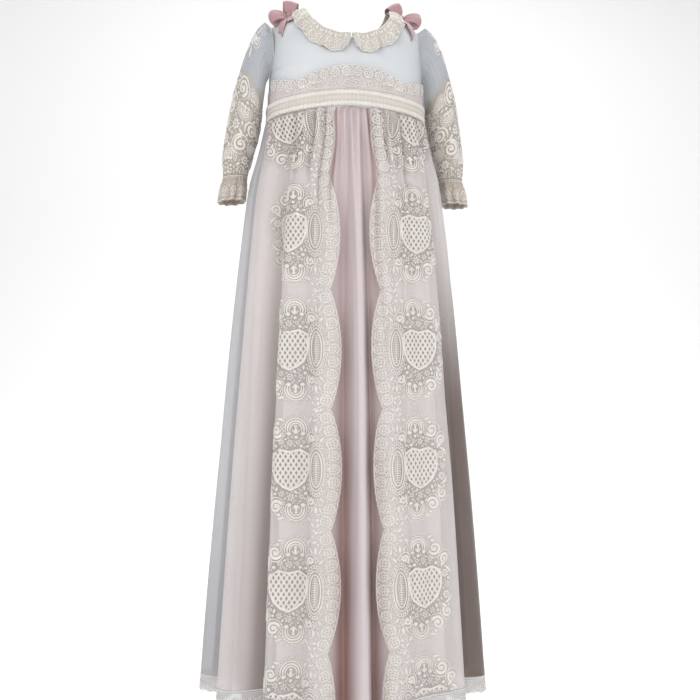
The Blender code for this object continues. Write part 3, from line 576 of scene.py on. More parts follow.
def frill_point(turn, row):
    """Points of the right cuff's frill. row runs from 0 at the gathers to 2 at its edge."""
    turn, row = np.broadcast_arrays(np.asarray(turn, float), np.asarray(row, float))
    columns = rows_between(FRILL, row)
    waves = columns[5] * np.sin(np.radians(FRILL_WAVES * turn + 12.0 * np.sin(np.radians(2.0 * turn))))
    gathers = (1.0 - np.cos(np.radians(SLEEVE_GATHERS * turn))) / 2
    gather = -0.8 * SLEEVE_GATHER_DEPTH * gathers * np.clip(1.0 - row * 1.4, 0.0, 1.0)
    return ring_point(columns[:5], turn, waves + gather)


# Trim shapes


def neck_curve():
    """Points of the neck edge from the centre front to the centre back, and their distances."""
    points = []
    for turn in np.linspace(0.0, 180.0, 241):
        back = turn > 90.0
        points.append(torso_point(*neck_edge(180.0 - turn if back else turn, back)))
    return np.array(points), distances(np.array(points))


def along_curve(curve, share):
    """Points of a curve at shares of its length."""
    points, lengths = curve
    wanted = np.clip(share, 0.0, 1.0) * lengths[-1]
    return np.stack([np.interp(wanted, lengths, points[:, axis]) for axis in range(3)], axis=-1)


def collar_point(curve, share, row):
    """Points of the right half of the collar ruffle, flatter on the shoulder."""
    away, lift, wave = rows_between(COLLAR, row)
    seat = COLLAR[0][1]
    share = COLLAR_ENDS[0] + (COLLAR_ENDS[1] - COLLAR_ENDS[0]) * share
    rim = np.clip((row - 1.0) / 2.0, 0.0, 1.0)
    share = share + COLLAR_NOTCH * rim**1.5 * (1.0 - share) ** 30
    point = along_curve(curve, share)
    along = along_curve(curve, share + 0.004) - along_curve(curve, share - 0.004)
    along /= np.linalg.norm(along, axis=-1, keepdims=True)
    shoulder = np.exp(-((point[..., 1] / COLLAR_SHOULDER_REACH) ** 2))
    normal = torso_normal(point)
    normal = normal - along * np.sum(normal * along, axis=-1, keepdims=True)
    normal /= np.linalg.norm(normal, axis=-1, keepdims=True)
    outward = np.cross(along, normal)
    flat = 1.0 - COLLAR_SHOULDER_FALL * shoulder
    turn = 2 * math.pi * COLLAR_WAVES * share
    ruffle = 1.9 * wave * np.sin(turn) + 0.0017 * rim * np.sin(2.6 * turn + 1.5 * np.sin(turn * 0.37))
    reach = np.where(away > 0, away * (1.0 - (1.0 - COLLAR_SHOULDER_WIDTH) * shoulder), away)
    reach = reach + 0.0012 * rim * (np.cos(turn) + 0.9 * np.abs(np.sin(turn * 1.5)))
    reach = reach + COLLAR_FRONT_REACH * rim * np.exp(-((share / 0.26) ** 4))
    reach = reach - 0.0065 * rim * np.exp(-(((share - COLLAR_NOTCH) / 0.016) ** 2))
    height = seat + (lift - seat) * flat + np.maximum(ruffle * flat, -0.0012)
    return point + outward * reach[..., None] + normal * height[..., None]


def sash_top(angle):
    """Height of the sash's upper edge, lowest at the centre front."""
    turned = np.where(np.cos(angle) > 0, np.abs(np.sin(angle)), 1.0)
    return SASH_TOP_FRONT_Z + (SASH_TOP_SIDE_Z - SASH_TOP_FRONT_Z) * turned


def waist_lace_top(angle):
    """Height of the waist lace's scalloped upper edge: one whole scallop between two halves."""
    return WAIST_LACE_NOTCH_Z + SCALLOP_DEPTH * scallop(angle * 0.085)


def bow_point(right, upwards, outwards):
    """Points of the right bow, measured from its knot."""
    tilt = math.radians(BOW_TILT)
    up = np.array([0.0, math.cos(tilt), math.sin(tilt)])
    out = np.array([0.0, -math.sin(tilt), math.cos(tilt)])
    parts = [np.asarray(right)[..., None] * np.array([1.0, 0.0, 0.0])]
    parts += [np.asarray(upwards)[..., None] * up, np.asarray(outwards)[..., None] * out]
    return np.array(BOW_KNOT) + sum(parts)


def loop_point(loop, share, across):
    """Points of a ribbon loop, pleated where it leaves the knot and comes back to it."""
    _, direction, start, length, half_width, half_height = loop
    turn = 2 * math.pi * share
    swell = np.sin(math.pi * share)
    reach = start + length * (1.0 - np.cos(turn)) / 2 * (1.0 - 0.10 * across**2)
    pleat = 0.0007 * np.cos(3.0 * math.pi * across) * (1.0 - swell)
    outwards = half_height * np.sin(turn) * swell * 1.3 + 0.0014 * np.cos(turn / 2)
    outwards = outwards + pleat + 0.0008 * swell * np.sin(2.2 * across + 6.0 * share)
    width = 0.0034 + (half_width - 0.0034) * swell**0.6
    sideways = across * width
    turn = math.radians(direction)
    right = reach * math.cos(turn) - sideways * math.sin(turn)
    upwards = reach * math.sin(turn) + sideways * math.cos(turn)
    return bow_point(right, upwards, outwards)


def shoulder_surface(x, y):
    """Points of the bodice's front near the shoulder, above these x and y."""
    _, half_width, front, _ = TORSO[1]
    depth = front * (1.0 - (np.minimum(x / half_width, 0.995)) ** TORSO_POWER) ** (1.0 / TORSO_POWER)
    drop = SHOULDER_ROLL * (1.0 - np.sqrt(1.0 - np.minimum(np.abs(y / depth), 0.99) ** 2))
    return np.stack([x, y, shoulder_z(x) - drop], axis=-1)


def tail_point(tail, share, across):
    """Points of a ribbon tail, which lies down over the bodice and ends in a slant."""
    _, start_x, start_y, end_x, end_y, half_width = tail
    reach = share * (1.0 + 0.22 * across * share)
    x = start_x + (end_x - start_x) * reach
    y = start_y + (end_y - start_y) * reach
    point = shoulder_surface(x, y)
    forward = shoulder_surface(x, y - 0.0005) - point
    sideways = shoulder_surface(x + 0.0005, y) - point
    normal = np.cross(forward, sideways)
    normal /= np.linalg.norm(normal, axis=-1, keepdims=True)
    along = np.array([end_x - start_x, end_y - start_y, 0.0])
    along = along - normal * np.sum(normal * along, axis=-1, keepdims=True)
    along /= np.linalg.norm(along, axis=-1, keepdims=True)
    width = 0.0028 + (half_width - 0.0028) * np.sqrt(share)
    lift = 0.0018 + 0.0007 * np.cos(2.5 * across) * share + 0.0012 * (1.0 - share) ** 2
    return point + np.cross(along, normal) * (across * width)[..., None] + normal * lift[..., None]


# Meshes


def mesh_object(name, points, faces, material, corner_uv, values=None):
    """A named object from arrays: points, faces of equal size, a corner map and values of the points."""
    data = bpy.data.meshes.new(name)
    count, size = faces.shape
    data.vertices.add(len(points))
    data.vertices.foreach_set("co", np.ascontiguousarray(points, dtype=np.float32).ravel())
    data.loops.add(count * size)
    data.loops.foreach_set("vertex_index", faces.astype(np.int32).ravel())
    data.polygons.add(count)
    data.polygons.foreach_set("loop_start", np.arange(0, count * size, size, dtype=np.int32))
    data.update(calc_edges=True)
    layer = data.uv_layers.new(name="UVMap")
    layer.data.foreach_set("uv", corner_uv.astype(np.float32).ravel())
    for key, numbers in (values or {}).items():
        layer = data.attributes.new(key, "FLOAT", "POINT")
        layer.data.foreach_set("value", numbers.astype(np.float32).ravel())
    data.validate()
    piece = bpy.data.objects.new(name, data)
    bpy.context.scene.collection.objects.link(piece)
    data.materials.append(material)
    data.shade_smooth()
    return piece


def sheet_mesh(name, grid, material, flip=False, wall=0.0, values=None, close=False, slit=None):
    """A cloth sheet from an array of rows of points, mapped in metres across and up.

    close joins points that meet, and slit is a column of faces that is left out.
    """
    rows, columns = grid.shape[:2]
    across = distances(grid)
    across -= across[:, columns // 2][:, None]
    steps = np.linalg.norm(np.diff(grid, axis=0), axis=2).mean(axis=1)
    up = np.concatenate([[0.0], np.cumsum(steps)])
    number = np.arange(rows * columns).reshape(rows, columns)
    faces = np.stack([number[:-1, :-1], number[:-1, 1:], number[1:, 1:], number[1:, :-1]], axis=-1)
    if slit is not None:
        faces = np.delete(faces, slit, axis=1)
    faces = faces.reshape(-1, 4)
    if flip:
        faces = faces[:, ::-1]
    uv = np.stack([across, np.broadcast_to(up[:, None], across.shape)], axis=-1).reshape(-1, 2)
    piece = mesh_object(name, grid.reshape(-1, 3), faces, material, uv[faces.ravel()], values)
    if close:
        work = bmesh.new()
        work.from_mesh(piece.data)
        bmesh.ops.remove_doubles(work, verts=work.verts, dist=0.00002)
        work.to_mesh(piece.data)
        work.free()
    if wall:
        solid = piece.modifiers.new("Wall", "SOLIDIFY")
        solid.thickness = wall
        solid.offset = -1.0
        apply_modifier(piece, solid)
    return piece


def apply_modifier(piece, modifier):
    """Applies one modifier of a piece."""
    bpy.ops.object.select_all(action="DESELECT")
    piece.select_set(True)
    bpy.context.view_layer.objects.active = piece
    bpy.ops.object.modifier_apply(modifier=modifier.name)


def share_grid(columns, rows):
    """Shares across and up of a sheet's points, as two arrays of rows."""
    return np.meshgrid(np.linspace(0.0, 1.0, columns + 1), np.linspace(0.0, 1.0, rows + 1))


def finish_piece(piece, replaced=()):
    """Ties a piece to the gown's one body and hides the solids that it stands for."""
    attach(piece, "root")
    if replaced:
        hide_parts(*replaced)


# Cloth charts: where a flat pattern lies on its cloth


def cloth_chart(grid, heights, start_column, length=None, shade=None):
    """Even chart of a sheet from rows of points: x is measured along each row from start_column.

    With a length, every row is taken to be that long. shade is a value of each point.
    """
    across = np.gradient(grid, axis=1)
    upwards = np.gradient(grid, axis=0)
    if heights[0] > heights[-1]:
        upwards = -upwards
    normals = np.cross(across, upwards)
    normals /= np.linalg.norm(normals, axis=-1, keepdims=True) + 1e-12
    width = distances(grid)
    if length:
        width *= length / width[:, -1:]
    shade = np.zeros(grid.shape[:2]) if shade is None else shade
    starts = np.array([np.interp(c, np.arange(grid.shape[1]), w) for c, w in zip(start_column, width)])
    width -= starts[:, None]
    low, high = width[:, 0].min(), width[:, -1].max()
    xs = np.arange(low, high + CHART_STEP, CHART_STEP)
    points = np.empty((len(grid), len(xs), 3))
    outs = np.empty_like(points)
    shades = np.empty((len(grid), len(xs), 1))
    for row in range(len(grid)):
        shades[row, :, 0] = np.interp(xs, width[row], shade[row])
        for axis in range(3):
            points[row, :, axis] = np.interp(xs, width[row], grid[row, :, axis])
            outs[row, :, axis] = np.interp(xs, width[row], normals[row, :, axis])
    return {
        "points": points,
        "normals": outs,
        "shade": shades,
        "x": xs,
        "y": np.asarray(heights, float),
        "ends": (width[:, 0], width[:, -1]),
    }


def on_cloth(chart, flat, lift, side):
    """Points of a flat pattern on a chart's cloth, lifted off it, and the chart's shade there."""
    xs, ys = chart["x"], chart["y"]
    column = np.clip((flat[:, 0] - xs[0]) / (xs[1] - xs[0]), 0, len(xs) - 1.001)
    row = np.clip((flat[:, 1] - ys[0]) / (ys[1] - ys[0]), 0, len(ys) - 1.001)
    c, r = column.astype(int), row.astype(int)
    cf, rf = (column - c)[:, None], (row - r)[:, None]
    result = []
    for key in ("points", "normals", "shade"):
        data = chart[key]
        low = data[r, c] * (1 - cf) + data[r, c + 1] * cf
        high = data[r + 1, c] * (1 - cf) + data[r + 1, c + 1] * cf
        result.append(low * (1 - rf) + high * rf)
    return result[0] + result[1] * (side * lift)[:, None], result[2][:, 0]


# Lace drawn flat, in millimetres: a stroke is (points, widths, height, closed)


def stroke(points, width, height=0.7, closed=False):
    """One cord or filled stitch along points."""
    points = np.asarray(points, dtype=float)
    widths = np.broadcast_to(np.asarray(width, dtype=float), len(points)).copy()
    return points, widths, height, closed


def ring(x, y, across, up, width=1.1, height=0.7, sides=10, turn=0.0):
    """An oval ring of cord, turned by degrees."""
    angle = 2 * math.pi * np.arange(sides) / sides
    points = turned(np.stack([across * np.cos(angle), up * np.sin(angle)], axis=-1), turn)
    return stroke(points + (x, y), width, height, True)


def turned(points, degrees):
    """Points turned about the origin."""
    angle = math.radians(degrees)
    c, s = math.cos(angle), math.sin(angle)
    return np.asarray(points, float) @ np.array([[c, s], [-s, c]])


def arc(x, y, radius, start, end, widths, height=1.0):
    """An arc between two angles, whose width follows a list from end to end."""
    count = max(int(abs(end - start) / 18) + 2, 4)
    angle = np.radians(np.linspace(start, end, count))
    points = np.stack([x + radius * np.cos(angle), y + radius * np.sin(angle)], axis=-1)
    width = np.interp(np.linspace(0, len(widths) - 1, count), np.arange(len(widths)), widths)
    return stroke(points, width, height)


def spiral(x, y, radius, start, turns, width, height=1.0):
    """A scroll that winds in from its outer end, with a ball at its heart and a cord round it."""
    count = max(int(abs(turns) * 14), 5)
    share = np.linspace(0.0, 1.0, count)
    angle = math.radians(start) + 2 * math.pi * turns * share
    reach = radius * (1.0 - 0.72 * share)
    points = np.stack([x + reach * np.cos(angle), y + reach * np.sin(angle)], axis=-1)
    scroll = stroke(points, width * (1.0 - 0.5 * share), height)
    first, last = sorted((start - 10.0, start + math.copysign(225.0, turns)))
    outer = arc(x, y, radius + width * 0.5 + 1.3, first, last, [0.9, 1.4, 1.4, 0.9], 0.7)
    return [scroll, dot(x, y, 0.30 * radius, height), outer]


def dot(x, y, radius, height=1.0):
    """A round filled stitch."""
    return stroke(
        [(x - radius, y), (x - radius * 0.5, y), (x + radius * 0.5, y), (x + radius, y)],
        [0.6 * radius, 1.8 * radius, 1.8 * radius, 0.6 * radius],
        height,
    )


def leaf(x, y, length, width, degrees, height=0.8):
    """A pointed filled stitch from x, y outwards."""
    along = turned([(0, 0), (0.3 * length, 0), (0.7 * length, 0), (length, 0)], degrees)
    return stroke(along + (x, y), [0.3 * width, width, 0.8 * width, 0.2], height)


def flower(x, y, radius, petals=6):
    """A round flower of filled petals."""
    parts = [dot(x, y, radius * 0.26, 1.0)]
    for number in range(petals):
        degrees = 360.0 * number / petals + 15.0
        start = turned([(radius * 0.36, 0)], degrees)[0]
        parts.append(leaf(x + start[0], y + start[1], radius * 0.66, radius * 0.62, degrees, 0.7))
    return parts


def eyelet_petal(x, y, across, up, degrees, holes=5):
    """An oval petal filled with eyelets."""
    parts = [ring(x, y, 0.92 * across, 0.92 * up, 0.30 * across, 0.9, 14, degrees)]
    places = [(0.0, 0.52), (-0.44, 0.08), (0.44, 0.08), (-0.26, -0.46), (0.26, -0.46)]
    if holes == 3:
        places = [(0.0, 0.40), (-0.38, -0.24), (0.38, -0.24)]
    for right, high in places:
        centre = turned([(right * across, high * up)], degrees)[0] + (x, y)
        parts.append(ring(*centre, 0.27 * across, 0.25 * up, 0.25 * across, 0.8, 7, degrees))
    return parts


def moved(strokes, x=0.0, y=0.0, flip_y=False, scale=1.0):
    """Strokes turned over, scaled and moved."""
    result = []
    for points, widths, height, closed in strokes:
        points = points * scale
        if flip_y:
            points = points * (1, -1)
        result.append((points + (x, y), widths * scale, height, closed))
    return result


def lattice(outline):
    """Broad crossing bars inside an outline, with a cord round it, which leave small square holes."""
    outline = np.asarray(outline, float)
    parts = [stroke(outline, 3.4, 1.0, True)]
    ends = np.roll(outline, -1, axis=0)
    for lean in (LATTICE_SLOPE, 180.0 - LATTICE_SLOPE):
        way = np.array([math.cos(math.radians(lean)), math.sin(math.radians(lean))])
        side = np.array([-way[1], way[0]])
        start, end = outline @ side, ends @ side
        level = math.ceil(min(start) / LATTICE_PITCH) * LATTICE_PITCH + 0.17 * LATTICE_PITCH
        while level < max(start):
            crossed = (start > level) != (end > level)
            share = (level - start[crossed]) / (end[crossed] - start[crossed])
            hits = outline[crossed] + (ends[crossed] - outline[crossed]) * share[:, None]
            hits = hits[np.argsort(hits @ way)]
            for first, second in zip(hits[::2], hits[1::2]):
                count = int(np.linalg.norm(second - first) / 4.0) + 2
                parts.append(stroke(np.linspace(first, second, count), LATTICE_WIDTH, 0.75))
            level += LATTICE_PITCH
    return parts


def fill_space(strokes, inside, low, high, seed, tries):
    """Small leaves, rings and dots in what the strokes leave free, where inside(x, y) holds."""
    cell = FILL_CELL
    size = [int((b - a) / cell) + 2 for a, b in zip(low, high)]
    taken = np.zeros(size, dtype=bool)
    cells = np.stack(np.meshgrid(*[np.arange(s) for s in size], indexing="ij"), axis=-1) * cell + low

    def take(points, reach):
        for (x, y), r in zip(points, reach):
            first = [max(int((v - r - a) / cell), 0) for v, a in zip((x, y), low)]
            last = [max(int((v + r - a) / cell) + 2, 0) for v, a in zip((x, y), low)]
            box = tuple(slice(a, b) for a, b in zip(first, last))
            taken[box] |= (cells[box][..., 0] - x) ** 2 + (cells[box][..., 1] - y) ** 2 < r * r

    for points, widths, _, closed in strokes:
        ring_of = np.vstack([points, points[:1]]) if closed else points
        reach = np.append(widths, widths[:1]) if closed else widths
        for a, b, wa, wb in zip(ring_of, ring_of[1:], reach, reach[1:]):
            count = max(int(np.linalg.norm(b - a) / 1.2), 1)
            share = np.linspace(0, 1, count + 1)[:, None]
            take(a + (b - a) * share, (wa + (wb - wa) * share[:, 0]) / 2 + 0.5)
    chance = random.Random(seed)
    added = []
    for number in range(tries * len(FILL_REACHES)):
        x, y = chance.uniform(low[0], high[0]), chance.uniform(low[1], high[1])
        if not inside(x, y):
            continue
        i, j = int((x - low[0]) / cell), int((y - low[1]) / cell)
        reach = FILL_REACHES[number // tries]
        n = int(reach / cell) + 1
        part = taken[max(i - n, 0) : i + n + 1, max(j - n, 0) : j + n + 1]
        near = cells[max(i - n, 0) : i + n + 1, max(j - n, 0) : j + n + 1]
        if (part & ((near[..., 0] - x) ** 2 + (near[..., 1] - y) ** 2 < reach * reach)).any():
            continue
        kind = chance.random()
        if kind < 0.40:
            degrees = chance.uniform(0, 360)
            back = turned([(reach, 0)], degrees)[0]
            added.append(leaf(x - back[0], y - back[1], reach * 2.0, reach * 1.15, degrees))
        elif kind < 0.75:
            added.append(ring(x, y, reach * 0.66, reach * 0.66, max(reach * 0.5, 0.9), 0.7, 8))
        else:
            added.append(dot(x, y, reach * 0.75, 0.8))
        take([(x, y)], [reach * 0.9])
    return added


def edge_border(pitch, depth, petals, size=(6.9, 7.6), inset=10.0):
    """Petals with eyelets along one scallop of an edge, between two cords."""
    y = np.linspace(-pitch / 2, pitch / 2, 241)
    x = -depth * np.abs(np.cos(math.pi * y / pitch)) ** SCALLOP_POWER
    path = np.stack([x, y], axis=-1)
    length = distances(path)

    def place(share, inward):
        """Point at a share of the edge, moved inward, and the edge's direction there."""
        wanted = share * length[-1]
        low, point, high = (
            np.array([np.interp(wanted + ahead, length, path[:, axis]) for axis in (0, 1)])
            for ahead in (-4, 0, 4)
        )
        along = (high - low) / np.linalg.norm(high - low)
        return point + np.array([along[1], -along[0]]) * inward, along

    strokes = []
    bumps = []
    for number in range(petals * 12 + 1):
        share = number / (petals * 12)
        lobe = 1.0 * abs(math.sin(math.pi * petals * 2 * share))
        bumps.append(place(share, 1.7 - lobe)[0])
    strokes.append(stroke(bumps, 1.7, 1.2))
    for number in range(petals):
        share = (number + 0.5) / petals
        uneven = 1.0 + 0.05 * math.sin(2.3 * number)
        point, along = place(share + 0.003 * math.sin(4.1 * number), inset)
        degrees = math.degrees(math.atan2(along[1], along[0])) + 180.0 + 5.0 * math.sin(1.7 * number)
        strokes += eyelet_petal(point[0], point[1], size[0] * uneven, size[1] * uneven, degrees)
        tip, _ = place(share + 0.5 / petals, inset - 5.4)
        strokes.append(dot(tip[0], tip[1], 1.5, 0.8))
        low_tip, _ = place(share + 0.5 / petals, inset + 6.6)
        strokes.append(ring(low_tip[0], low_tip[1], 2.0, 2.0, 1.4, 0.7, 7))
    return strokes


def crescent(x, y, radius):
    """A bold rounded arch of three cords, opening downwards, ringed by loops, with a flame inside."""
    strokes = []
    for away, width, height in ((-3.1, 2.6, 1.1), (0.0, 3.2, 1.4), (3.2, 2.6, 1.1)):
        strokes.append(arc(x, y, radius + away, -26, 206, [1.2, width, width, width, width, 1.2], height))
    for side in (1, -1):
        turn = math.radians(90 - side * 122)
        strokes.append(dot(x + radius * math.cos(turn), y + radius * math.sin(turn), 2.9, 1.4))
    for number in range(15):
        angle = math.radians(-24 + 228 * number / 14)
        reach = radius + 7.2
        strokes.append(ring(x + reach * math.cos(angle), y + reach * math.sin(angle), 1.9, 1.9, 1.3, 0.7, 7))
    strokes += [leaf(x, y - 6.0, 9.5, 4.6, 90.0, 1.3), dot(x, y + 3.6, 2.1, 1.2)]
    strokes += [leaf(x, y - 6.0, 7.5, 2.6, 132.0), leaf(x, y - 6.0, 7.5, 2.6, 48.0)]
    return strokes


def medallion():
    """One medallion of the skirt lace, centred on its lattice. x grows away from the skirt's edge."""
    shield = [(-24, 18), (-13, 23.5), (0, 20.5), (13, 23.5), (24, 18), (25, 8), (24, -3), (18, -15)]
    shield += [(9, -22), (0, -26), (-9, -22), (-18, -15), (-24, -3), (-25, 8)]
    strokes = lattice(shield)
    strokes += crescent(-8, 49, 10.5)
    strokes += moved(crescent(-8, 50, 10.5), flip_y=True)
    strokes += spiral(17.5, 46, 8.0, 200, 1.35, 4.6, 1.3) + spiral(17.5, -47, 8.0, 160, -1.35, 4.6, 1.3)
    strokes += spiral(32.0, 33, 6.6, 240, -1.3, 4.0, 1.2) + spiral(32.0, -34, 6.6, 120, 1.3, 4.0, 1.2)
    strokes += spiral(-30, 37, 5.6, -60, 1.2, 3.4, 1.2) + spiral(-30, -38, 5.6, 60, -1.2, 3.4, 1.2)
    strokes += flower(0, 32.0, 4.6) + flower(11, 33, 4.0) + flower(-1, -35, 4.8) + flower(11, -31, 4.0)
    strokes += flower(31, 14, 5.4, 7) + flower(32, -13, 5.4, 7) + flower(34, 0, 4.4)
    for side in (1, -1):
        strokes.append(arc(26, side * 8, 15.5, side * 20, side * 75, [1.8, 4.2, 1.8], 1.1))
        strokes.append(leaf(25, side * 23, 10.0, 4.2, side * 40.0, 1.1))
        strokes.append(leaf(7, side * 60, 8.5, 3.8, side * 12.0, 1.0))
        strokes.append(leaf(-24, side * 58, 8.5, 3.6, 180 - side * 40.0, 1.0))
    return strokes


def palm_oval():
    """An upright oval with ribs, a palm inside and a chain of small loops round it."""
    strokes = [ring(0, 0, 7.4, 21.5, 2.2, 1.3, 20), ring(0, 0, 10.6, 26.0, 1.9, 1.0, 24)]
    for number in range(-6, 7):
        reach = 4.8 * math.sqrt(1 - (number / 7.5) ** 2)
        level = number * 2.8
        strokes.append(stroke([(-reach, level - 1.2), (0, level + 0.6), (reach, level - 1.2)], 1.5, 0.7))
    strokes.append(stroke([(0, -19), (0, 0), (0, 19)], 1.5, 1.0))
    for number in range(28):
        angle = 2 * math.pi * number / 28
        strokes.append(ring(13.6 * math.cos(angle), 31.0 * math.sin(angle), 1.9, 2.2, 1.4, 0.8, 7))
    for side in (1, -1):
        strokes += flower(0, side * 39.0, 4.8)
        strokes += [leaf(-5, side * 34, 8.0, 3.6, side * 130.0), leaf(5, side * 34, 8.0, 3.6, side * 50.0)]
        strokes += [leaf(0, side * 45, 10.0, 4.2, side * 90.0), leaf(-4, side * 46, 8.0, 3.0, side * 115.0)]
        strokes += [leaf(4, side * 46, 8.0, 3.0, side * 65.0)]
    return strokes


def skirt_lace_tile():
    """One repeat of the skirt's lace. x is from the line of the notches, y from the scallop's middle."""
    pitch, depth = SCALLOP_PITCH * 1000, SCALLOP_DEPTH * 1000
    strokes = edge_border(pitch, depth, 9)
    strokes += moved(palm_oval(), 19.0, 0.0)
    strokes += moved(medallion(), 56.0, 0.0)

    def inside(x, y):
        """Inside the medallion, the oval beside it, or the strip that follows the edge."""
        round_it = ((x - 52.0) / 42.0) ** 2 + (abs(y) / 68.0) ** 2 < 1.0
        return round_it or 5.0 - 12.0 * abs(math.cos(math.pi * y / pitch)) < x < 24.0

    strokes += fill_space(strokes, inside, (-14.0, -75.0), (96.0, 75.0), 7, 1500)
    return strokes


def sleeve_lace_tile(width, length):
    """Dense scroll lace for a sleeve, centred across, growing down from its top edge."""
    seed = 11
    chance = random.Random(seed)
    strokes = []
    for row in range(int(length / 21)):
        count = int(width / 27)
        for number in range(count):
            x = (number - (count - 1) / 2 + 0.5 * (row % 2)) * 27.0 + chance.uniform(-2, 2)
            y = -13.0 - row * 21.0 + chance.uniform(-2, 2)
            kind = (row + number) % 3
            if kind == 0:
                strokes += spiral(x, y, 9.5, chance.uniform(0, 360), 1.4, 4.6, 1.5)
                strokes.append(arc(x, y, 12.2, 30, 200, [1.4, 3.2, 1.4], 1.1))
            elif kind == 1:
                strokes += moved(crescent(0, 0, 7.5), x, y + 1.0, flip_y=bool(row % 2), scale=0.85)
            else:
                strokes += flower(x, y, 7.0, 7)
                strokes.append(leaf(x + 7, y - 4, 9.0, 4.0, -40.0, 1.2))
                strokes.append(leaf(x - 7, y - 4, 9.0, 4.0, 220.0, 1.2))
    limit = width / 2

    def inside(x, y):
        return abs(x) < limit and -length < y < -4.0 + 4.0 * math.sin(x * 0.13)

    strokes += fill_space(strokes, inside, (-limit - 6.0, -length - 6.0), (limit + 6.0, 4.0), seed, 3500)
    return strokes


def cut_strokes(strokes, keep):
    """Strokes cut where keep(points) doesn't hold."""
    result = []
    for points, widths, height, closed in strokes:
        good = keep(points)
        if good.all():
            result.append((points, widths, height, closed))
            continue
        if closed:
            shift = int(np.argmin(good))
            points, widths, good = (np.roll(a, -shift, axis=0) for a in (points, widths, good))
        run = []
        for index, fine in enumerate([*good, False]):
            if fine:
                run.append(index)
            elif len(run) > 1:
                result.append((points[run], widths[run], height, False))
            if not fine:
                run = []
    return result


# Sections of a narrow and a wide cord: shares of its half width and height, from right to left
NARROW = ((1.0, 0.0), (0.45, 0.55), (-0.45, 0.55), (-1.0, 0.0))
ROUND = ((1.0, 0.0), (0.72, 0.60), (0.0, 0.80), (-0.72, 0.60), (-1.0, 0.0))


def lace_object(name, strokes, chart, mirrored=False, base=0.0002):
    """One mesh of all the strokes, laid on a chart's cloth as low ridges with flat undersides."""
    flats, lifts, quads, ends, uvs = [], [], [], [], []
    start = 0
    for points, widths, height, closed in strokes:
        section = ROUND if widths.max() > 3.0 else NARROW
        after, before = np.roll(points, -1, axis=0), np.roll(points, 1, axis=0)
        if not closed:
            after[-1], before[0] = points[-1], points[0]
        along = after - before
        along /= np.linalg.norm(along, axis=1, keepdims=True) + 1e-9
        left = np.stack([-along[:, 1], along[:, 0]], axis=-1)
        steps = distances(points)
        for share, high in section:
            flats.append(points + left * (widths * share / 2)[:, None])
            lifts.append(np.full(len(points), high * height))
            uvs.append(np.stack([steps, widths * share / 2], axis=-1))
        count, size = len(points), len(section)
        here = np.arange(count if closed else count - 1)
        there = (here + 1) % count
        for k in range(size):
            m = (k + 1) % size
            corners = [k * count + here, m * count + here, m * count + there, k * count + there]
            quads.append(start + np.stack(corners, axis=-1))
        if not closed:
            for at, order in ((0, 1), (count - 1, -1)):
                cap = [start + k * count + at for k in range(size)][::order]
                ends += [(cap[0], cap[i + 1], cap[i]) for i in range(1, size - 1)]
        start += count * size
    flat = np.concatenate(flats) * 0.001
    lift = np.concatenate(lifts) * 0.001 + base
    side = -1.0 if mirrored else 1.0
    points, shade = on_cloth(chart, flat, lift, side)
    faces = np.concatenate(quads)
    if mirrored:
        faces = faces[:, ::-1]
    uv = np.concatenate(uvs) * 0.001
    piece = mesh_object(name, points, faces, lace_thread(), uv[faces.ravel()], {"valley": shade})
    work = bmesh.new()
    work.from_mesh(piece.data)
    work.verts.ensure_lookup_table()
    for corners in ends:
        order = corners[::-1] if mirrored else corners
        work.faces.new([work.verts[i] for i in order]).smooth = True
    work.to_mesh(piece.data)
    work.free()
    return piece


# Materials


def plug(tree, made, inputs):
    """Sets a node's inputs to values, or links them where they are outputs of other nodes."""
    for key, value in dict(inputs).items():
        if isinstance(value, bpy.types.NodeSocket):
            tree.links.new(value, made.inputs[key])
        else:
            made.inputs[key].default_value = value


def node(tree, kind, inputs=(), **settings):
    """A new node of a material or group, with its settings and inputs."""
    made = tree.nodes.new(kind)
    for key, value in settings.items():
        setattr(made, key, value)
    plug(tree, made, inputs)
    return made


def value_of(tree, operation, first, second=0.0, third=0.0):
    """Output of a Math node."""
    return node(tree, "ShaderNodeMath", {0: first, 1: second, 2: third}, operation=operation).outputs[0]


def noise(tree, place, scale, detail, roughness=0.5):
    """Value output of a noise texture."""
    inputs = {"Vector": place, "Scale": scale, "Detail": detail, "Roughness": roughness}
    return node(tree, "ShaderNodeTexNoise", inputs).outputs["Fac"]


def new_material(name):
    """A new material, its node tree and its shader."""
    material = bpy.data.materials.new(name)
    material.use_nodes = True
    return material, material.node_tree, material.node_tree.nodes["Principled BSDF"]


def object_place(tree):
    """Output of an object's own coordinates."""
    return node(tree, "ShaderNodeTexCoord").outputs["Object"]


def sheet_map(tree):
    """Output of a sheet's own map, in metres across and up."""
    return node(tree, "ShaderNodeUVMap", uv_map="UVMap").outputs[0]


def valley_map(tree):
    """Output of the valley value of a sheet's points."""
    return node(tree, "ShaderNodeAttribute", attribute_name="valley").outputs["Fac"]


def new_group(name, inputs, outputs):
    """A shader group and its input and output nodes, or None where it is already made."""
    if name in bpy.data.node_groups:
        return None
    tree = bpy.data.node_groups.new(name, "ShaderNodeTree")
    for socket, kind in inputs:
        tree.interface.new_socket(socket, in_out="INPUT", socket_type=kind)
    for socket, kind in outputs:
        tree.interface.new_socket(socket, in_out="OUTPUT", socket_type=kind)
    return tree, tree.nodes.new("NodeGroupInput"), tree.nodes.new("NodeGroupOutput")


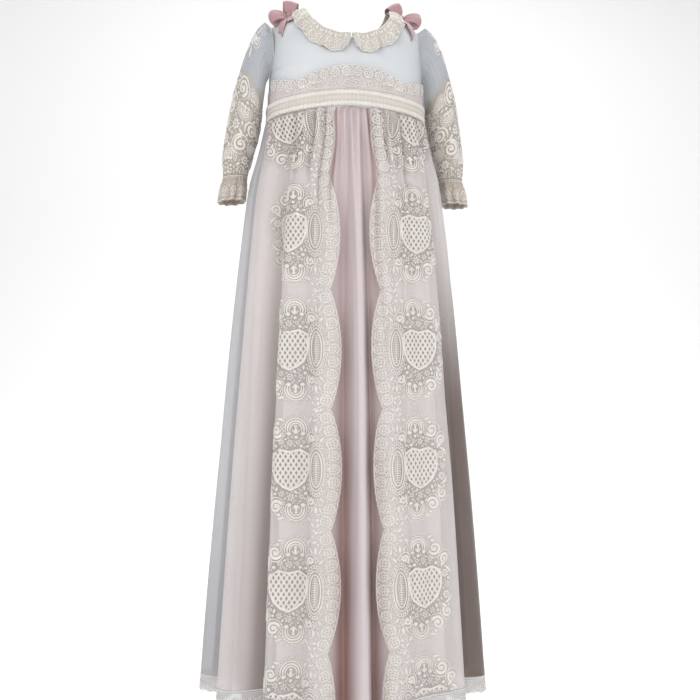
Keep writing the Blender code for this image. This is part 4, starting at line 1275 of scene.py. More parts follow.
def weave_group():
    """Plain weave: raised threads over and under each other."""
    made = new_group(
        "Plain weave",
        [("Vector", "NodeSocketVector"), ("Threads per metre", "NodeSocketFloat")],
        [("Height", "NodeSocketFloat")],
    )
    if made:
        tree, start, end = made
        parts = node(tree, "ShaderNodeSeparateXYZ", {0: start.outputs["Vector"]})
        turns = value_of(tree, "MULTIPLY", start.outputs["Threads per metre"], math.pi)
        waves = [value_of(tree, "SINE", value_of(tree, "MULTIPLY", parts.outputs[i], turns)) for i in (0, 1)]
        crossed = value_of(tree, "MULTIPLY", waves[0], waves[1])
        plug(tree, end, {"Height": value_of(tree, "MULTIPLY_ADD", crossed, 0.5, 0.5)})
    return bpy.data.node_groups["Plain weave"]


def net_group():
    """Fine net: 1 on its threads and 0 in its six-sided holes."""
    made = new_group(
        "Fine net",
        [("Vector", "NodeSocketVector"), ("Holes per metre", "NodeSocketFloat")],
        [("Mask", "NodeSocketFloat")],
    )
    if made:
        tree, start, end = made
        parts = node(tree, "ShaderNodeSeparateXYZ", {0: start.outputs["Vector"]})
        turns = value_of(tree, "MULTIPLY", start.outputs["Holes per metre"], 2 * math.pi)
        x = value_of(tree, "MULTIPLY", parts.outputs[0], turns)
        y = value_of(tree, "MULTIPLY", parts.outputs[1], turns)
        lean = value_of(tree, "MULTIPLY", y, 0.8660)
        half = value_of(tree, "MULTIPLY", x, 0.5)
        first = value_of(tree, "COSINE", x)
        second = value_of(tree, "COSINE", value_of(tree, "ADD", half, lean))
        third = value_of(tree, "COSINE", value_of(tree, "SUBTRACT", half, lean))
        total = value_of(tree, "ADD", value_of(tree, "ADD", first, second), third)
        range_of = node(tree, "ShaderNodeMapRange", {0: total, 1: 0.55, 2: -0.35})
        plug(tree, end, {"Mask": range_of.outputs[0]})
    return bpy.data.node_groups["Fine net"]


def mottle_group():
    """Slow unevenness of a cloth's tone, and its small crumples."""
    made = new_group(
        "Cloth mottle",
        [("Vector", "NodeSocketVector"), ("Size", "NodeSocketFloat")],
        [("Tone", "NodeSocketFloat"), ("Crumple", "NodeSocketFloat")],
    )
    if made:
        tree, start, end = made
        place, size = start.outputs["Vector"], start.outputs["Size"]
        finer = value_of(tree, "MULTIPLY", size, 5.0)
        plug(tree, end, {"Tone": noise(tree, place, size, 3.0)})
        plug(tree, end, {"Crumple": noise(tree, place, finer, 4.0, 0.6)})
    return bpy.data.node_groups["Cloth mottle"]


def use_group(tree, group, inputs):
    """A group's node in a material."""
    return node(tree, "ShaderNodeGroup", inputs, node_tree=group)


def mixed(tree, factor, first, second):
    """Colour output between two colours or colour outputs."""
    return node(tree, "ShaderNodeMix", {0: factor, 6: first, 7: second}, data_type="RGBA").outputs[2]


def shade_of(colour, factor):
    """A colour made lighter or darker, with its alpha of 1."""
    return (*[min(part * factor, 1.0) for part in colour[:3]], 1.0)


def cloth_material(
    name, colour, roughness, sheen=0.1, threads=1600.0, bump=0.15, valley=None, mottle=14.0, specular=0.35
):
    """A woven cloth. valley is the colour mixed in where the sheet has a valley value: a painted shade in the
    folds of the pink satin and the skirts' nets, and the close cream base under the sleeves' lace.
    """
    material, tree, shader = new_material(name)
    tone = use_group(tree, mottle_group(), {"Vector": object_place(tree), "Size": mottle})
    cloth = mixed(tree, tone.outputs["Tone"], shade_of(colour, 0.93), shade_of(colour, 1.05))
    if valley:
        cloth = mixed(tree, valley_map(tree), cloth, (*valley, 1.0))
    weave = use_group(tree, weave_group(), {"Vector": sheet_map(tree), "Threads per metre": threads})
    crumple = {"Height": tone.outputs["Crumple"], "Strength": bump, "Distance": 0.0012}
    crumpled = node(tree, "ShaderNodeBump", crumple).outputs[0]
    fine = {"Height": weave.outputs["Height"], "Strength": 0.25, "Distance": 0.0002, "Normal": crumpled}
    plug(tree, shader, {
        "Base Color": cloth,
        "Normal": node(tree, "ShaderNodeBump", fine).outputs[0],
        "Roughness": roughness,
        "Specular IOR Level": specular,
        "Sheen Weight": sheen,
        "Sheen Roughness": 0.4,
    })
    return material


def net_material(name, colour, holes, clear, solid, valley=None, deep=0.6):
    """A fine see-through net: its alpha is clear in the holes, deep there in a valley, solid on threads."""
    material = cloth_material(name, colour, 0.8, 0.05, holes * 2, 0.05, valley, 9.0, 0.2)
    tree = material.node_tree
    mask = use_group(tree, net_group(), {"Vector": sheet_map(tree), "Holes per metre": holes}).outputs["Mask"]
    if valley:
        clear = node(tree, "ShaderNodeMapRange", {0: valley_map(tree), 3: clear, 4: deep}).outputs[0]
    alpha = node(tree, "ShaderNodeMapRange", {0: mask, 3: clear, 4: max(solid, deep)}).outputs[0]
    plug(tree, tree.nodes["Principled BSDF"], {"Alpha": alpha})
    return material


def lace_material(name, colour, shadow):
    """Matt cotton thread, ribbed across each cord, with a painted brown shade where its valley value is high.
    """
    material, tree, shader = new_material(name)
    parts = node(tree, "ShaderNodeSeparateXYZ", {0: sheet_map(tree)})
    lean = value_of(tree, "ADD", parts.outputs[0], value_of(tree, "MULTIPLY", parts.outputs[1], 0.5))
    rib = value_of(tree, "SINE", value_of(tree, "MULTIPLY", lean, 2 * math.pi * 1250.0))
    tone = use_group(tree, mottle_group(), {"Vector": object_place(tree), "Size": 60.0})
    cotton = mixed(tree, tone.outputs["Tone"], shade_of(shadow, 1.0), shade_of(colour, 1.0))
    # Painted shade: the lace thread darkened towards brown in the net's folds
    painted_shade = [shadow[i] * (0.55, 0.47, 0.42)[i] for i in range(3)]
    ribbed = {"Height": rib, "Strength": 0.5, "Distance": 0.0002}
    plug(tree, shader, {
        "Base Color": mixed(tree, valley_map(tree), cotton, (*painted_shade, 1.0)),
        "Normal": node(tree, "ShaderNodeBump", ribbed).outputs[0],
        "Roughness": 0.78,
        "Specular IOR Level": 0.3,
        "Sheen Weight": 0.15,
    })
    return material


def made_once(name, maker, *values):
    """A material by name, made the first time it is asked for."""
    return bpy.data.materials.get(name) or maker(name, *values)


# Settings


def colour_setting(name, about, default):
    """A colour in the panel."""
    return bpy.props.FloatVectorProperty(
        name=name, description=about, subtype="COLOR", size=3, min=0.0, max=1.0, default=default
    )


def length_setting(name, about, default):
    """A length in the panel."""
    return bpy.props.FloatProperty(name=name, description=about, unit="LENGTH", min=0.0, default=default)


class GownColours(bpy.types.PropertyGroup):
    """Colours of the gown's cloths."""

    bodice: colour_setting("Bodice", "White cotton satin of the bodice", (0.635, 0.662, 0.680))
    lining: colour_setting("Lining", "Pink satin of the underskirt and sash", (0.612, 0.530, 0.540))
    # Painted shade: the pink satin is mixed towards this darker, warmer colour in its folds, creases and
    # gathers, where less light falls
    lining_shade: colour_setting("Lining folds", "Pink satin deep in its folds", (0.33, 0.190, 0.165))
    net: colour_setting("Net", "Fine net of the overskirt's fronts", (0.865, 0.816, 0.806))
    # Painted shade: the front nets are mixed towards this dark brown in their folds, in the deep fold at the
    # right side and under the medallions
    net_shade: colour_setting("Net folds", "Net deep in its folds", (0.145, 0.102, 0.086))
    # Painted shade: the back's net is a darker, greyer copy of the fronts' net, for the shade inside the
    # skirt seen through the front
    back_net: colour_setting("Back net", "Fine net of the overskirt's back", (0.58, 0.58, 0.61))
    sleeve_net: colour_setting("Sleeve net", "Fine net of the sleeves", (0.44, 0.46, 0.50))
    sleeve_base: colour_setting("Sleeve lace base", "Close net under the sleeves' lace", (0.47, 0.430, 0.365))
    lace: colour_setting("Lace", "Raised lace work", (0.90, 0.862, 0.828))
    lace_shade: colour_setting("Lace shade", "Darker threads of the lace work", (0.76, 0.705, 0.660))
    ruffle: colour_setting("Ruffle", "Lace cloth of the collar and braid", (0.60, 0.565, 0.505))
    cuff: colour_setting("Cuff", "Lace cloth of the cuffs", (0.48, 0.415, 0.350))
    ribbon: colour_setting("Ribbon", "Dusky rose of the bows", (0.45, 0.270, 0.290))
    floor: colour_setting("Floor", "Pale floor and backdrop", (0.90, 0.90, 0.90))


class GownSizes(bpy.types.PropertyGroup):
    """Sizes of the gown's cloths."""

    satin_wall: length_setting("Satin thickness", "Thickness of the bodice and lining", 0.0006)
    lace_wall: length_setting("Lace thickness", "Thickness of ruffles, edgings and ribbon", 0.0005)
    net_holes: bpy.props.FloatProperty(
        name="Net holes", description="Holes of the net in a metre", min=100.0, default=900.0
    )
    floor_drop: length_setting("Floor drop", "How far the floor lies below the hem", 0.10)


class GownSettings(bpy.types.PropertyGroup):
    """All settings of the gown."""

    colours: bpy.props.PointerProperty(type=GownColours)
    sizes: bpy.props.PointerProperty(type=GownSizes)


def settings():
    """The gown's settings in this scene."""
    return bpy.context.scene.lace_gown


def satin_white():
    """White cotton satin."""
    return made_once("ivory_satin_cloth", cloth_material, settings().colours.bodice, 0.52, 0.15, 1500.0, 0.22)


def satin_pink():
    """Pink satin, with a warmer, darker painted shade in its folds."""
    colours = settings().colours
    shade = tuple(colours.lining_shade)
    return made_once(
        "pink_satin_cloth", cloth_material, colours.lining, 0.40, 0.2, 1800.0, 0.10, shade, 10.0, 0.5
    )


def fine_net():
    """The overskirt's net, with a painted brown shade in its folds."""
    colours = settings().colours
    holes = settings().sizes.net_holes
    return made_once("fine_net", net_material, colours.net, holes, 0.26, 0.62, tuple(colours.net_shade), 0.75)


def plain_net():
    """The net under the waist lace."""
    return made_once("plain_net", net_material, settings().colours.net, settings().sizes.net_holes, 0.15, 0.5)


def back_net():
    """The overskirt's net at the back, which is seen in shade through the front: its darker colour and its
    darker folds are painted shade.
    """
    colours, holes = settings().colours, settings().sizes.net_holes
    # Painted shade in the back net's folds and towards its hem
    deep = tuple(part * 0.42 for part in colours.back_net)
    return made_once("back_net", net_material, colours.back_net, holes, 0.40, 0.75, deep)


def sleeve_net():
    """The sleeves' net, which is close and cream under the lace, where its valley value is 1."""
    colours, holes = settings().colours, settings().sizes.net_holes
    base = tuple(colours.sleeve_base)
    return made_once("sleeve_net", net_material, colours.sleeve_net, holes, 0.30, 0.65, base, 0.85)


def lace_thread():
    """Thread of the raised lace."""
    colours = settings().colours
    return made_once("lace_thread", lace_material, colours.lace, colours.lace_shade)


def ruffle_cloth():
    """Soft ivory lace cloth of the ruffles."""
    colour = settings().colours.ruffle
    return made_once("ruffle_lace_cloth", cloth_material, colour, 0.75, 0.2, 700.0, 0.6, None, 40.0)


def cuff_cloth():
    """Beige lace cloth of the cuffs."""
    colour = settings().colours.cuff
    return made_once("cuff_lace_cloth", cloth_material, colour, 0.75, 0.2, 700.0, 0.6, None, 40.0)


def band_net():
    """Denser net behind the lace edgings."""
    pale = tuple(settings().colours.lace_shade[i] * (0.78, 0.84, 0.92)[i] for i in range(3))
    return made_once("edging_net", net_material, pale, settings().sizes.net_holes, 0.55, 0.95)


def ribbon_cloth():
    """Soft rose ribbon."""
    colour = settings().colours.ribbon
    return made_once("rose_ribbon_cloth", cloth_material, colour, 0.7, 0.5, 1300.0, 0.35, None, 60.0)


# Steps


class GOWN_OT_bodice(bpy.types.Operator):
    """Make the white bodice: a front, and two backs that meet at the centre"""

    bl_idname = "gown.bodice"
    bl_label = "Bodice"

    def execute(self, context):
        share = np.linspace(0.0, 1.0, 29)
        wall = settings().sizes.satin_wall
        front = bodice_points(False, share)
        front[:, :, 1] = np.minimum(front[:, :, 1], -GAP / 2)
        whole = np.concatenate([mirror_x(front[:, ::-1]), front], axis=1)
        slit = len(share) - 1
        piece = sheet_mesh("bodice_front_cloth", whole, satin_white(), wall=wall, close=True, slit=slit)
        finish_piece(piece, ["bodice_front"])
        back = bodice_points(True, share)
        back[:, :, 1] = np.maximum(back[:, :, 1], GAP / 2)
        back[:, :, 0] = np.maximum(back[:, :, 0], GAP / 2)
        for side, flip in (("right", False), ("left", True)):
            grid = mirror_x(back) if flip else back
            piece = sheet_mesh(f"bodice_back_{side}_cloth", grid, satin_white(), flip=not flip, wall=wall)
            finish_piece(piece, [f"bodice_back_{side}"])
        return {"FINISHED"}


class GOWN_OT_lining(bpy.types.Operator):
    """Make the pink satin underskirt: a front and a back"""

    bl_idname = "gown.lining"
    bl_label = "Underskirt"

    def execute(self, context):
        wall = settings().sizes.satin_wall
        back_end = 360.0 - SIDE_SEAM
        for name, start, end, columns in (
            ("underskirt_front", -SIDE_SEAM, SIDE_SEAM, 260),
            ("underskirt_back", SIDE_SEAM, back_end, 300),
        ):
            across, up = share_grid(columns, 90)
            z = LINING_HEM_Z + (SKIRT_TOP_Z - LINING_HEM_Z) * up
            angle = panel_angle(start, end, 0.12, across)
            grid = skirt_point(UNDERSKIRT, angle, z)
            # The valley value is the mask of the shade painted into the satin's folds
            valley = valley_value(angle, z, 1.0)
            piece = sheet_mesh(f"{name}_cloth", grid, satin_pink(), wall=wall, values={"valley": valley})
            finish_piece(piece, [name])
        return {"FINISHED"}


def valley_value(angle, z, strength):
    """How deep in a fold, crease or gather each point lies, from 0 to 1: the mask of the shade painted into
    the cloths.
    """
    folds = np.minimum(fold_depth(angle, z) / 0.030, 1.0) ** 1.6
    gathers = 0.38 * (gather_depth(angle, z) / GATHER_DEPTH) ** 1.5
    creases = 0.8 * sharp_creases(angle, z)
    return np.clip(strength * np.maximum(np.maximum(folds, gathers), creases), 0.0, 1.0)


def net_valley(angle, z):
    """The same for the overskirt's fronts, with the shade of the right side."""
    return np.maximum(valley_value(angle, z, 0.62), shaded_side(angle, z))


def shaded_side(angle, z):
    """1 in the deep shade of the fold at the gown's right side, which grows stronger on its way down."""
    turned = (np.degrees(angle) - 68.0) / 9.0
    return np.exp(-(turned**2)) * smooth_step((-0.25 - z) / 0.30)


def under_lace(angle, z):
    """1 on the overskirt's fronts under a medallion, where the net lies in the lace's shade."""
    away = (np.abs(angle) - opening_angle(z, 0.0)) * table_at(OVERSKIRT, z)[1]
    middle = np.abs((z - FIRST_SCALLOP_Z + SCALLOP_PITCH / 2) % SCALLOP_PITCH - SCALLOP_PITCH / 2)
    size = ((away - 0.046) / 0.038) ** 2 + (middle / 0.064) ** 2
    return 1.0 - smooth_step((size - 0.45) / 0.75)


def seam_angle(radius):
    """Half of a seam's gap, as an angle at a distance from the axis."""
    return SEAM / 2 / radius


def panel_angle(start, end, radius, across):
    """Angles across a skirt panel between two directions in degrees, short of the seams at its sides."""
    seam = seam_angle(radius)
    return math.radians(start) + seam + (math.radians(end - start) - 2 * seam) * across


def front_net_grid(side):
    """Points, angles and heights of an overskirt front."""
    across, up = share_grid(120, 300)
    z = HEM_SEAM_Z + (SKIRT_TOP_Z - HEM_SEAM_Z) * up
    start = opening_angle(z)
    end = math.radians(SIDE_SEAM) - seam_angle(0.14)
    angle = side * (start + (end - start) * across)
    return skirt_point(OVERSKIRT, angle, z), angle, z


def front_chart(side, low_z=HEM_SEAM_Z):
    """Chart of an overskirt front, x from the line of the notches, and on past them by a share."""
    past = 0.28
    heights = np.arange(low_z, SKIRT_TOP_Z + 0.0001, 0.003)
    notch = opening_angle(heights, 0.0)[:, None]
    columns = np.linspace(-past, 1.0, 260)[None, :]
    end = math.radians(SIDE_SEAM)
    angle = side * (notch + (end - notch) * columns)
    grid = skirt_point(OVERSKIRT, angle, heights[:, None], 0.4)
    start = np.full(len(heights), past / (1.0 + past) * 259)
    # The chart's shade is the net's painted shade, which the skirt lace takes on as well
    return cloth_chart(grid, heights, start, shade=net_valley(angle, heights[:, None]))


class GOWN_OT_overskirt(bpy.types.Operator):
    """Make the net overskirt: two scalloped fronts and a back"""

    bl_idname = "gown.overskirt"
    bl_label = "Overskirt"

    def execute(self, context):
        for name, side in (("overskirt_front_left", -1), ("overskirt_front_right", 1)):
            grid, angle, z = front_net_grid(side)
            # The valley value is the mask of the net's painted shade: its folds, the deep fold at the right
            # side, and under the medallions
            values = {"valley": np.maximum(net_valley(angle, z), 0.42 * under_lace(angle, z))}
            piece = sheet_mesh(f"{name}_cloth", grid, fine_net(), flip=side < 0, values=values)
            finish_piece(piece, [name])
        across, up = share_grid(340, 90)
        z = HEM_SEAM_Z + (SKIRT_TOP_Z - HEM_SEAM_Z) * up
        angle = panel_angle(SIDE_SEAM, 360.0 - SIDE_SEAM, 0.14, across)
        grid = skirt_point(OVERSKIRT, angle, z)
        # The back's painted shade: in its folds, darker towards the hem, and in the deep fold at the right
        # side
        low = 0.45 * smooth_step((-0.55 - z) / 0.30)
        values = {"valley": np.maximum(np.maximum(valley_value(angle, z, 0.8), low), shaded_side(angle, z))}
        piece = sheet_mesh("overskirt_back_cloth", grid, back_net(), values=values)
        finish_piece(piece, ["overskirt_back"])
        return {"FINISHED"}


class GOWN_OT_skirt_lace(bpy.types.Operator):
    """Lay the scalloped border and the medallions on the overskirt's fronts"""

    bl_idname = "gown.skirt_lace"
    bl_label = "Skirt lace"

    def execute(self, context):
        tile = skirt_lace_tile()
        strokes = []
        for number in range(6):
            strokes += moved(tile, 0.0, (FIRST_SCALLOP_Z - SCALLOP_PITCH * number) * 1000)
        top, bottom = (SKIRT_TOP_Z - 0.001) * 1000, (HEM_SEAM_Z + 0.001) * 1000
        strokes = cut_strokes(strokes, lambda p: (p[:, 1] < top) & (p[:, 1] > bottom))
        for side_name, side in (("left", -1), ("right", 1)):
            chart = front_chart(side)
            piece = lace_object(f"skirt_lace_{side_name}", strokes, chart, mirrored=side < 0)
            finish_piece(piece)
        return {"FINISHED"}


class GOWN_OT_hem_lace(bpy.types.Operator):
    """Make the lace edging along the overskirt's hem"""

    bl_idname = "gown.hem_lace"
    bl_label = "Hem lace"

    def execute(self, context):
        top = HEM_SEAM_Z - GAP
        heights = np.linspace(HEM_Z, top, 9)
        for name, side in (("hem_lace_front_left", -1), ("hem_lace_front_right", 1), ("hem_lace_back", 0)):
            columns = 360 if side == 0 else 150
            across, up = share_grid(columns, 4)
            z = HEM_Z + (top - HEM_Z) * up
            if side:
                start, end = opening_angle(z), math.radians(SIDE_SEAM) - seam_angle(0.16)
                angle = side * (start + (end - start) * across)
                chart_angle = side * np.linspace(0.12, math.radians(SIDE_SEAM), 200)
            else:
                angle = panel_angle(SIDE_SEAM, 360.0 - SIDE_SEAM, 0.16, across)
                chart_angle = np.radians(np.linspace(SIDE_SEAM, 360.0 - SIDE_SEAM, 500))
            waves = np.abs(np.cos(across * columns * math.pi / 6.0))
            z = np.where(up == 0.0, z + 0.0030 * waves, z)
            piece = sheet_mesh(f"{name}_cloth", skirt_point(OVERSKIRT, angle, z), band_net(), flip=side < 0)
            finish_piece(piece, [name])
            grid = skirt_point(OVERSKIRT, chart_angle[None, :], heights[:, None])
            chart = cloth_chart(grid, heights, np.zeros(len(heights)))
            length = float(min(chart["ends"][1]) - max(chart["ends"][0])) * 1000
            skip = 0.0
            if side:
                skip = float(np.interp(opening_angle(HEM_Z), np.abs(chart_angle), distances(grid[0]))) * 1000
            lace = lace_object(f"{name}_work", hem_strokes(skip, length), chart, mirrored=side < 0)
            finish_piece(lace)
        return {"FINISHED"}


def hem_strokes(start, length):
    """Cords, small petals and a looped edge for the hem, between two distances."""
    top, bottom = (HEM_SEAM_Z - GAP) * 1000, HEM_Z * 1000
    count = max(int((length - start) / 11.0), 1)
    pitch = (length - start) / count
    strokes = []
    for level, width in ((top - 1.2, 1.8), (top - 3.6, 1.0)):
        xs = np.linspace(start + 0.5, length - 0.5, count * 3)
        strokes.append(stroke(np.stack([xs, np.full(len(xs), level)], axis=-1), width, 1.0))
    edge = []
    for number in range(count * 6 + 1):
        x = start + (length - start) * number / (count * 6)
        edge.append((x, bottom + 4.0 - 2.6 * abs(math.sin(math.pi * (x - start) / pitch))))
    strokes.append(stroke(edge, 1.3, 1.0))
    for number in range(count):
        x = start + pitch * (number + 0.5)
        strokes += eyelet_petal(x, bottom + 8.6, 4.0, 4.8, 180.0, 3)
        strokes.append(dot(x + pitch / 2, bottom + 11.0, 1.0))
        strokes.append(leaf(x + pitch / 2, bottom + 9.0, 5.0, 2.0, -90.0))
    return cut_strokes(strokes, lambda p: (p[:, 0] < length - 0.3) & (p[:, 0] > start + 0.3))


class GOWN_OT_sleeves(bpy.types.Operator):
    """Make the net sleeves, gathered at the armhole and the cuff, with lace on their lower half"""

    bl_idname = "gown.sleeves"
    bl_label = "Sleeves"

    def execute(self, context):
        last = len(SLEEVE)
        across, up = share_grid(180, 64)
        for name, flip in (("sleeve_right", False), ("sleeve_left", True)):
            grid = sleeve_point(across * 360.0 + 270.0, last * (1.0 - up))
            grid = mirror_x(grid) if flip else grid
            turn = 2 * math.pi * across
            start = 0.47 + 0.03 * np.sin(turn) + 0.02 * np.sin(6.0 * turn)
            values = {"valley": smooth_step((1.0 - up - start) / 0.05)}
            piece = sheet_mesh(f"{name}_cloth", grid, sleeve_net(), flip=not flip, values=values, close=True)
            finish_piece(piece, [name])
            rows = np.linspace(last, 0.0, 120)
            chart_grid = sleeve_point(np.linspace(-90.0, 270.0, 300)[None, :], rows[:, None])
            chart_grid = mirror_x(chart_grid) if flip else chart_grid
            length = distances(chart_grid[:, 150])
            heights = np.linspace(-length[-1], 0.0, 120)
            source = length - length[-1]
            even = np.empty((120, 300, 3))
            for column, axis in np.ndindex(300, 3):
                even[:, column, axis] = np.interp(heights, source, chart_grid[:, column, axis])
            chart = cloth_chart(even, heights, np.full(120, 150.0))
            total = length[-1] * 1000
            strokes = sleeve_strokes(total, chart)
            lace = lace_object(f"{name}_lace", strokes, chart, mirrored=not flip)
            finish_piece(lace)
        return {"FINISHED"}


def sleeve_strokes(total, chart):
    """Lace of a sleeve: dense scrolls from below the elbow to the cuff, and a spray at its head."""
    top = -0.37 * total
    strokes = moved(sleeve_lace_tile(230.0, total + top - 3.0), 0.0, top)
    spray = flower(0, 0, 6.5, 7) + spiral(13, 6, 6.0, 180, 1.2, 3.2) + spiral(-13, 5, 6.0, 0, -1.2, 3.2)
    spray += [leaf(5, -6, 13.0, 4.6, -60.0, 1.2), leaf(-5, -6, 12.0, 4.4, -115.0, 1.2)]
    spray.append(leaf(0, 7, 10.0, 4.0, 80.0, 1.2))
    strokes += moved(spray, -34.0, -34.0)
    low, high = chart["ends"]

    def keep(points):
        y = points[:, 1] * 0.001
        left = np.interp(y, chart["y"], low) * 1000 + 1.0
        right = np.interp(y, chart["y"], high) * 1000 - 1.0
        return (points[:, 0] > left) & (points[:, 0] < right) & (y > chart["y"][0] + 0.001) & (y < -0.002)

    return cut_strokes(strokes, keep)


class GOWN_OT_cuffs(bpy.types.Operator):
    """Make the wavy lace frills of the cuffs"""

    bl_idname = "gown.cuffs"
    bl_label = "Cuff frills"

    def execute(self, context):
        wall = settings().sizes.lace_wall
        across, up = share_grid(160, 12)
        for name, flip in (("cuff_frill_right", False), ("cuff_frill_left", True)):
            grid = frill_point(across * 360.0 + 270.0, 2.0 * (1.0 - up))
            grid = mirror_x(grid) if flip else grid
            piece = sheet_mesh(f"{name}_cloth", grid, cuff_cloth(), flip=not flip, wall=wall, close=True)
            finish_piece(piece, [name])
            heights = np.linspace(-0.035, 0.0, 24)
            chart_grid = frill_point(np.linspace(-90.0, 270.0, 240)[None, :], (-heights / 0.0175)[:, None])
            chart_grid = mirror_x(chart_grid) if flip else chart_grid
            chart = cloth_chart(chart_grid, heights, np.full(24, 120.0))
            low, high = chart["ends"]
            span = (high.min() - low.max()) * 1000
            count = int(span / 13.0)
            strokes = []
            for number in range(count):
                x = (number - (count - 1) / 2) * span / count
                strokes += eyelet_petal(x, -24.0, 5.2, 6.2, 180.0, 3)
                strokes += [leaf(x + span / count / 2, -19.0, 6.0, 2.4, 90.0), dot(x, -12.0, 1.3)]
            for level, width in ((-1.5, 2.0), (-4.2, 1.2), (-33.5, 1.4)):
                xs = np.linspace(-span / 2 + 0.5, span / 2 - 0.5, 90)
                wave = 1.2 * np.abs(np.sin(math.pi * count * xs / span)) if level < -30 else 0.0 * xs
                strokes.append(stroke(np.stack([xs, level - wave * 0.8 + 1.0], axis=-1), width, 0.9))
            lace = lace_object(f"{name}_work", strokes, chart, mirrored=not flip)
            finish_piece(lace)
        return {"FINISHED"}


class GOWN_OT_collar(bpy.types.Operator):
    """Make the ruffled lace collar in two halves"""

    bl_idname = "gown.collar"
    bl_label = "Collar"

    def execute(self, context):
        curve = neck_curve()
        wall = settings().sizes.lace_wall
        across, up = share_grid(320, 18)
        for name, flip in (("collar_right", False), ("collar_left", True)):
            grid = collar_point(curve, across, 3.0 * (1.0 - up))
            grid = mirror_x(grid) if flip else grid
            piece = sheet_mesh(f"{name}_cloth", grid, ruffle_cloth(), flip=flip, wall=wall)
            finish_piece(piece, [name])
            heights = np.linspace(-0.0215, 0.0, 24)
            along = np.linspace(0.0, 1.0, 400)[None, :]
            chart_grid = collar_point(curve, along, 1.0 - heights[:, None] / 0.01075)
            chart_grid = mirror_x(chart_grid) if flip else chart_grid
            length = 0.001 * COLLAR_PETALS * COLLAR_PETAL_PITCH
            chart = cloth_chart(chart_grid, heights, np.zeros(24), length)
            lace = lace_object(f"{name}_work", collar_strokes(), chart, mirrored=flip)
            finish_piece(lace)
        return {"FINISHED"}


def collar_strokes():
    """Lace of half the collar: petals along its edge, leaves above them and a looped rim."""
    strokes = []
    pitch = COLLAR_PETAL_PITCH
    for number in range(COLLAR_PETALS):
        x = pitch * (number + 0.5)
        strokes += eyelet_petal(x, -14.6, 4.1, 4.9, 180.0, 3)
        strokes += [leaf(x, -8.6, 6.4, 2.8, 90.0), dot(x + pitch / 2, -10.6, 1.2)]
        if 0 < number:
            strokes += [leaf(x - pitch / 2, -7.6, 4.6, 1.9, 60.0), leaf(x - pitch / 2, -7.6, 4.6, 1.9, 120.0)]
    xs = np.linspace(0.6, pitch * COLLAR_PETALS - 0.6, COLLAR_PETALS * 8)
    loops = -20.4 - 0.9 * np.abs(np.sin(math.pi * 2.0 * xs / pitch))
    strokes.append(stroke(np.stack([xs, loops], axis=-1), 1.5, 1.0))
    strokes.append(stroke(np.stack([xs, np.full(len(xs), -1.4)], axis=-1), 1.5, 0.9))
    return cut_strokes(strokes, lambda p: (p[:, 0] > 0.5) & (p[:, 0] < pitch * COLLAR_PETALS - 0.5))


class GOWN_OT_waist(bpy.types.Operator):
    """Make the pink sash, its scalloped lace and the braid over the waist seam"""

    bl_idname = "gown.waist"
    bl_label = "Waist trims"

    def execute(self, context):
        wall = settings().sizes.lace_wall
        end = math.pi - seam_angle(0.066)
        across, up = share_grid(200, 8)
        angle = -end + 2 * end * across
        z = TRIM_BOTTOM_Z + (sash_top(angle) - TRIM_BOTTOM_Z) * up - droop(angle)
        grid = torso_point(angle, z, GAP + 0.0010)
        flat = {"valley": np.zeros(angle.shape)}
        piece = sheet_mesh("waist_sash_cloth", grid, satin_pink(), wall=wall, values=flat)
        finish_piece(piece, ["waist_sash"])

        reach = math.radians(WAIST_LACE_END)
        across, up = share_grid(160, 10)
        angle = -reach + 2 * reach * across
        bottom = BRAID_TOP_Z + GAP
        z = bottom + (waist_lace_top(angle) - bottom) * up - droop(angle)
        grid = torso_point(angle, z, 0.0021)
        piece = sheet_mesh("waist_lace_cloth", grid, plain_net())
        finish_piece(piece, ["waist_lace"])
        heights = np.linspace(BRAID_TOP_Z, WAIST_LACE_NOTCH_Z + SCALLOP_DEPTH + 0.001, 20)
        chart = trim_chart(np.linspace(-reach, reach, 300), heights, 0.0021)
        lace = lace_object("waist_lace_work", waist_strokes(chart), chart)
        finish_piece(lace)

        across, up = share_grid(220, 6)
        angle = -end + 2 * end * across
        low, high = BRAID_TOP_Z - BRAID_WIDTH, BRAID_TOP_Z
        z = low + (high - low) * up - droop(angle)
        grid = torso_point(angle, z, 0.0024 + 0.0003 * np.sin(up * math.pi * 3) ** 2)
        piece = sheet_mesh("waist_braid_cloth", grid, ruffle_cloth(), wall=0.0006)
        finish_piece(piece, ["waist_braid"])
        heights = np.linspace(low, high, 12)
        chart = trim_chart(np.linspace(-end, end, 500), heights, 0.0025)
        lace = lace_object("waist_braid_work", braid_strokes(chart), chart, base=0.0)
        finish_piece(lace)
        return {"FINISHED"}


def trim_chart(angle, heights, out):
    """Map of the waist between two directions, for lace work laid a distance out from the bodice."""
    grid = torso_point(angle[None, :], heights[:, None] - droop(angle[None, :]), out)
    return cloth_chart(grid, heights, np.full(len(heights), (len(angle) - 1) / 2))


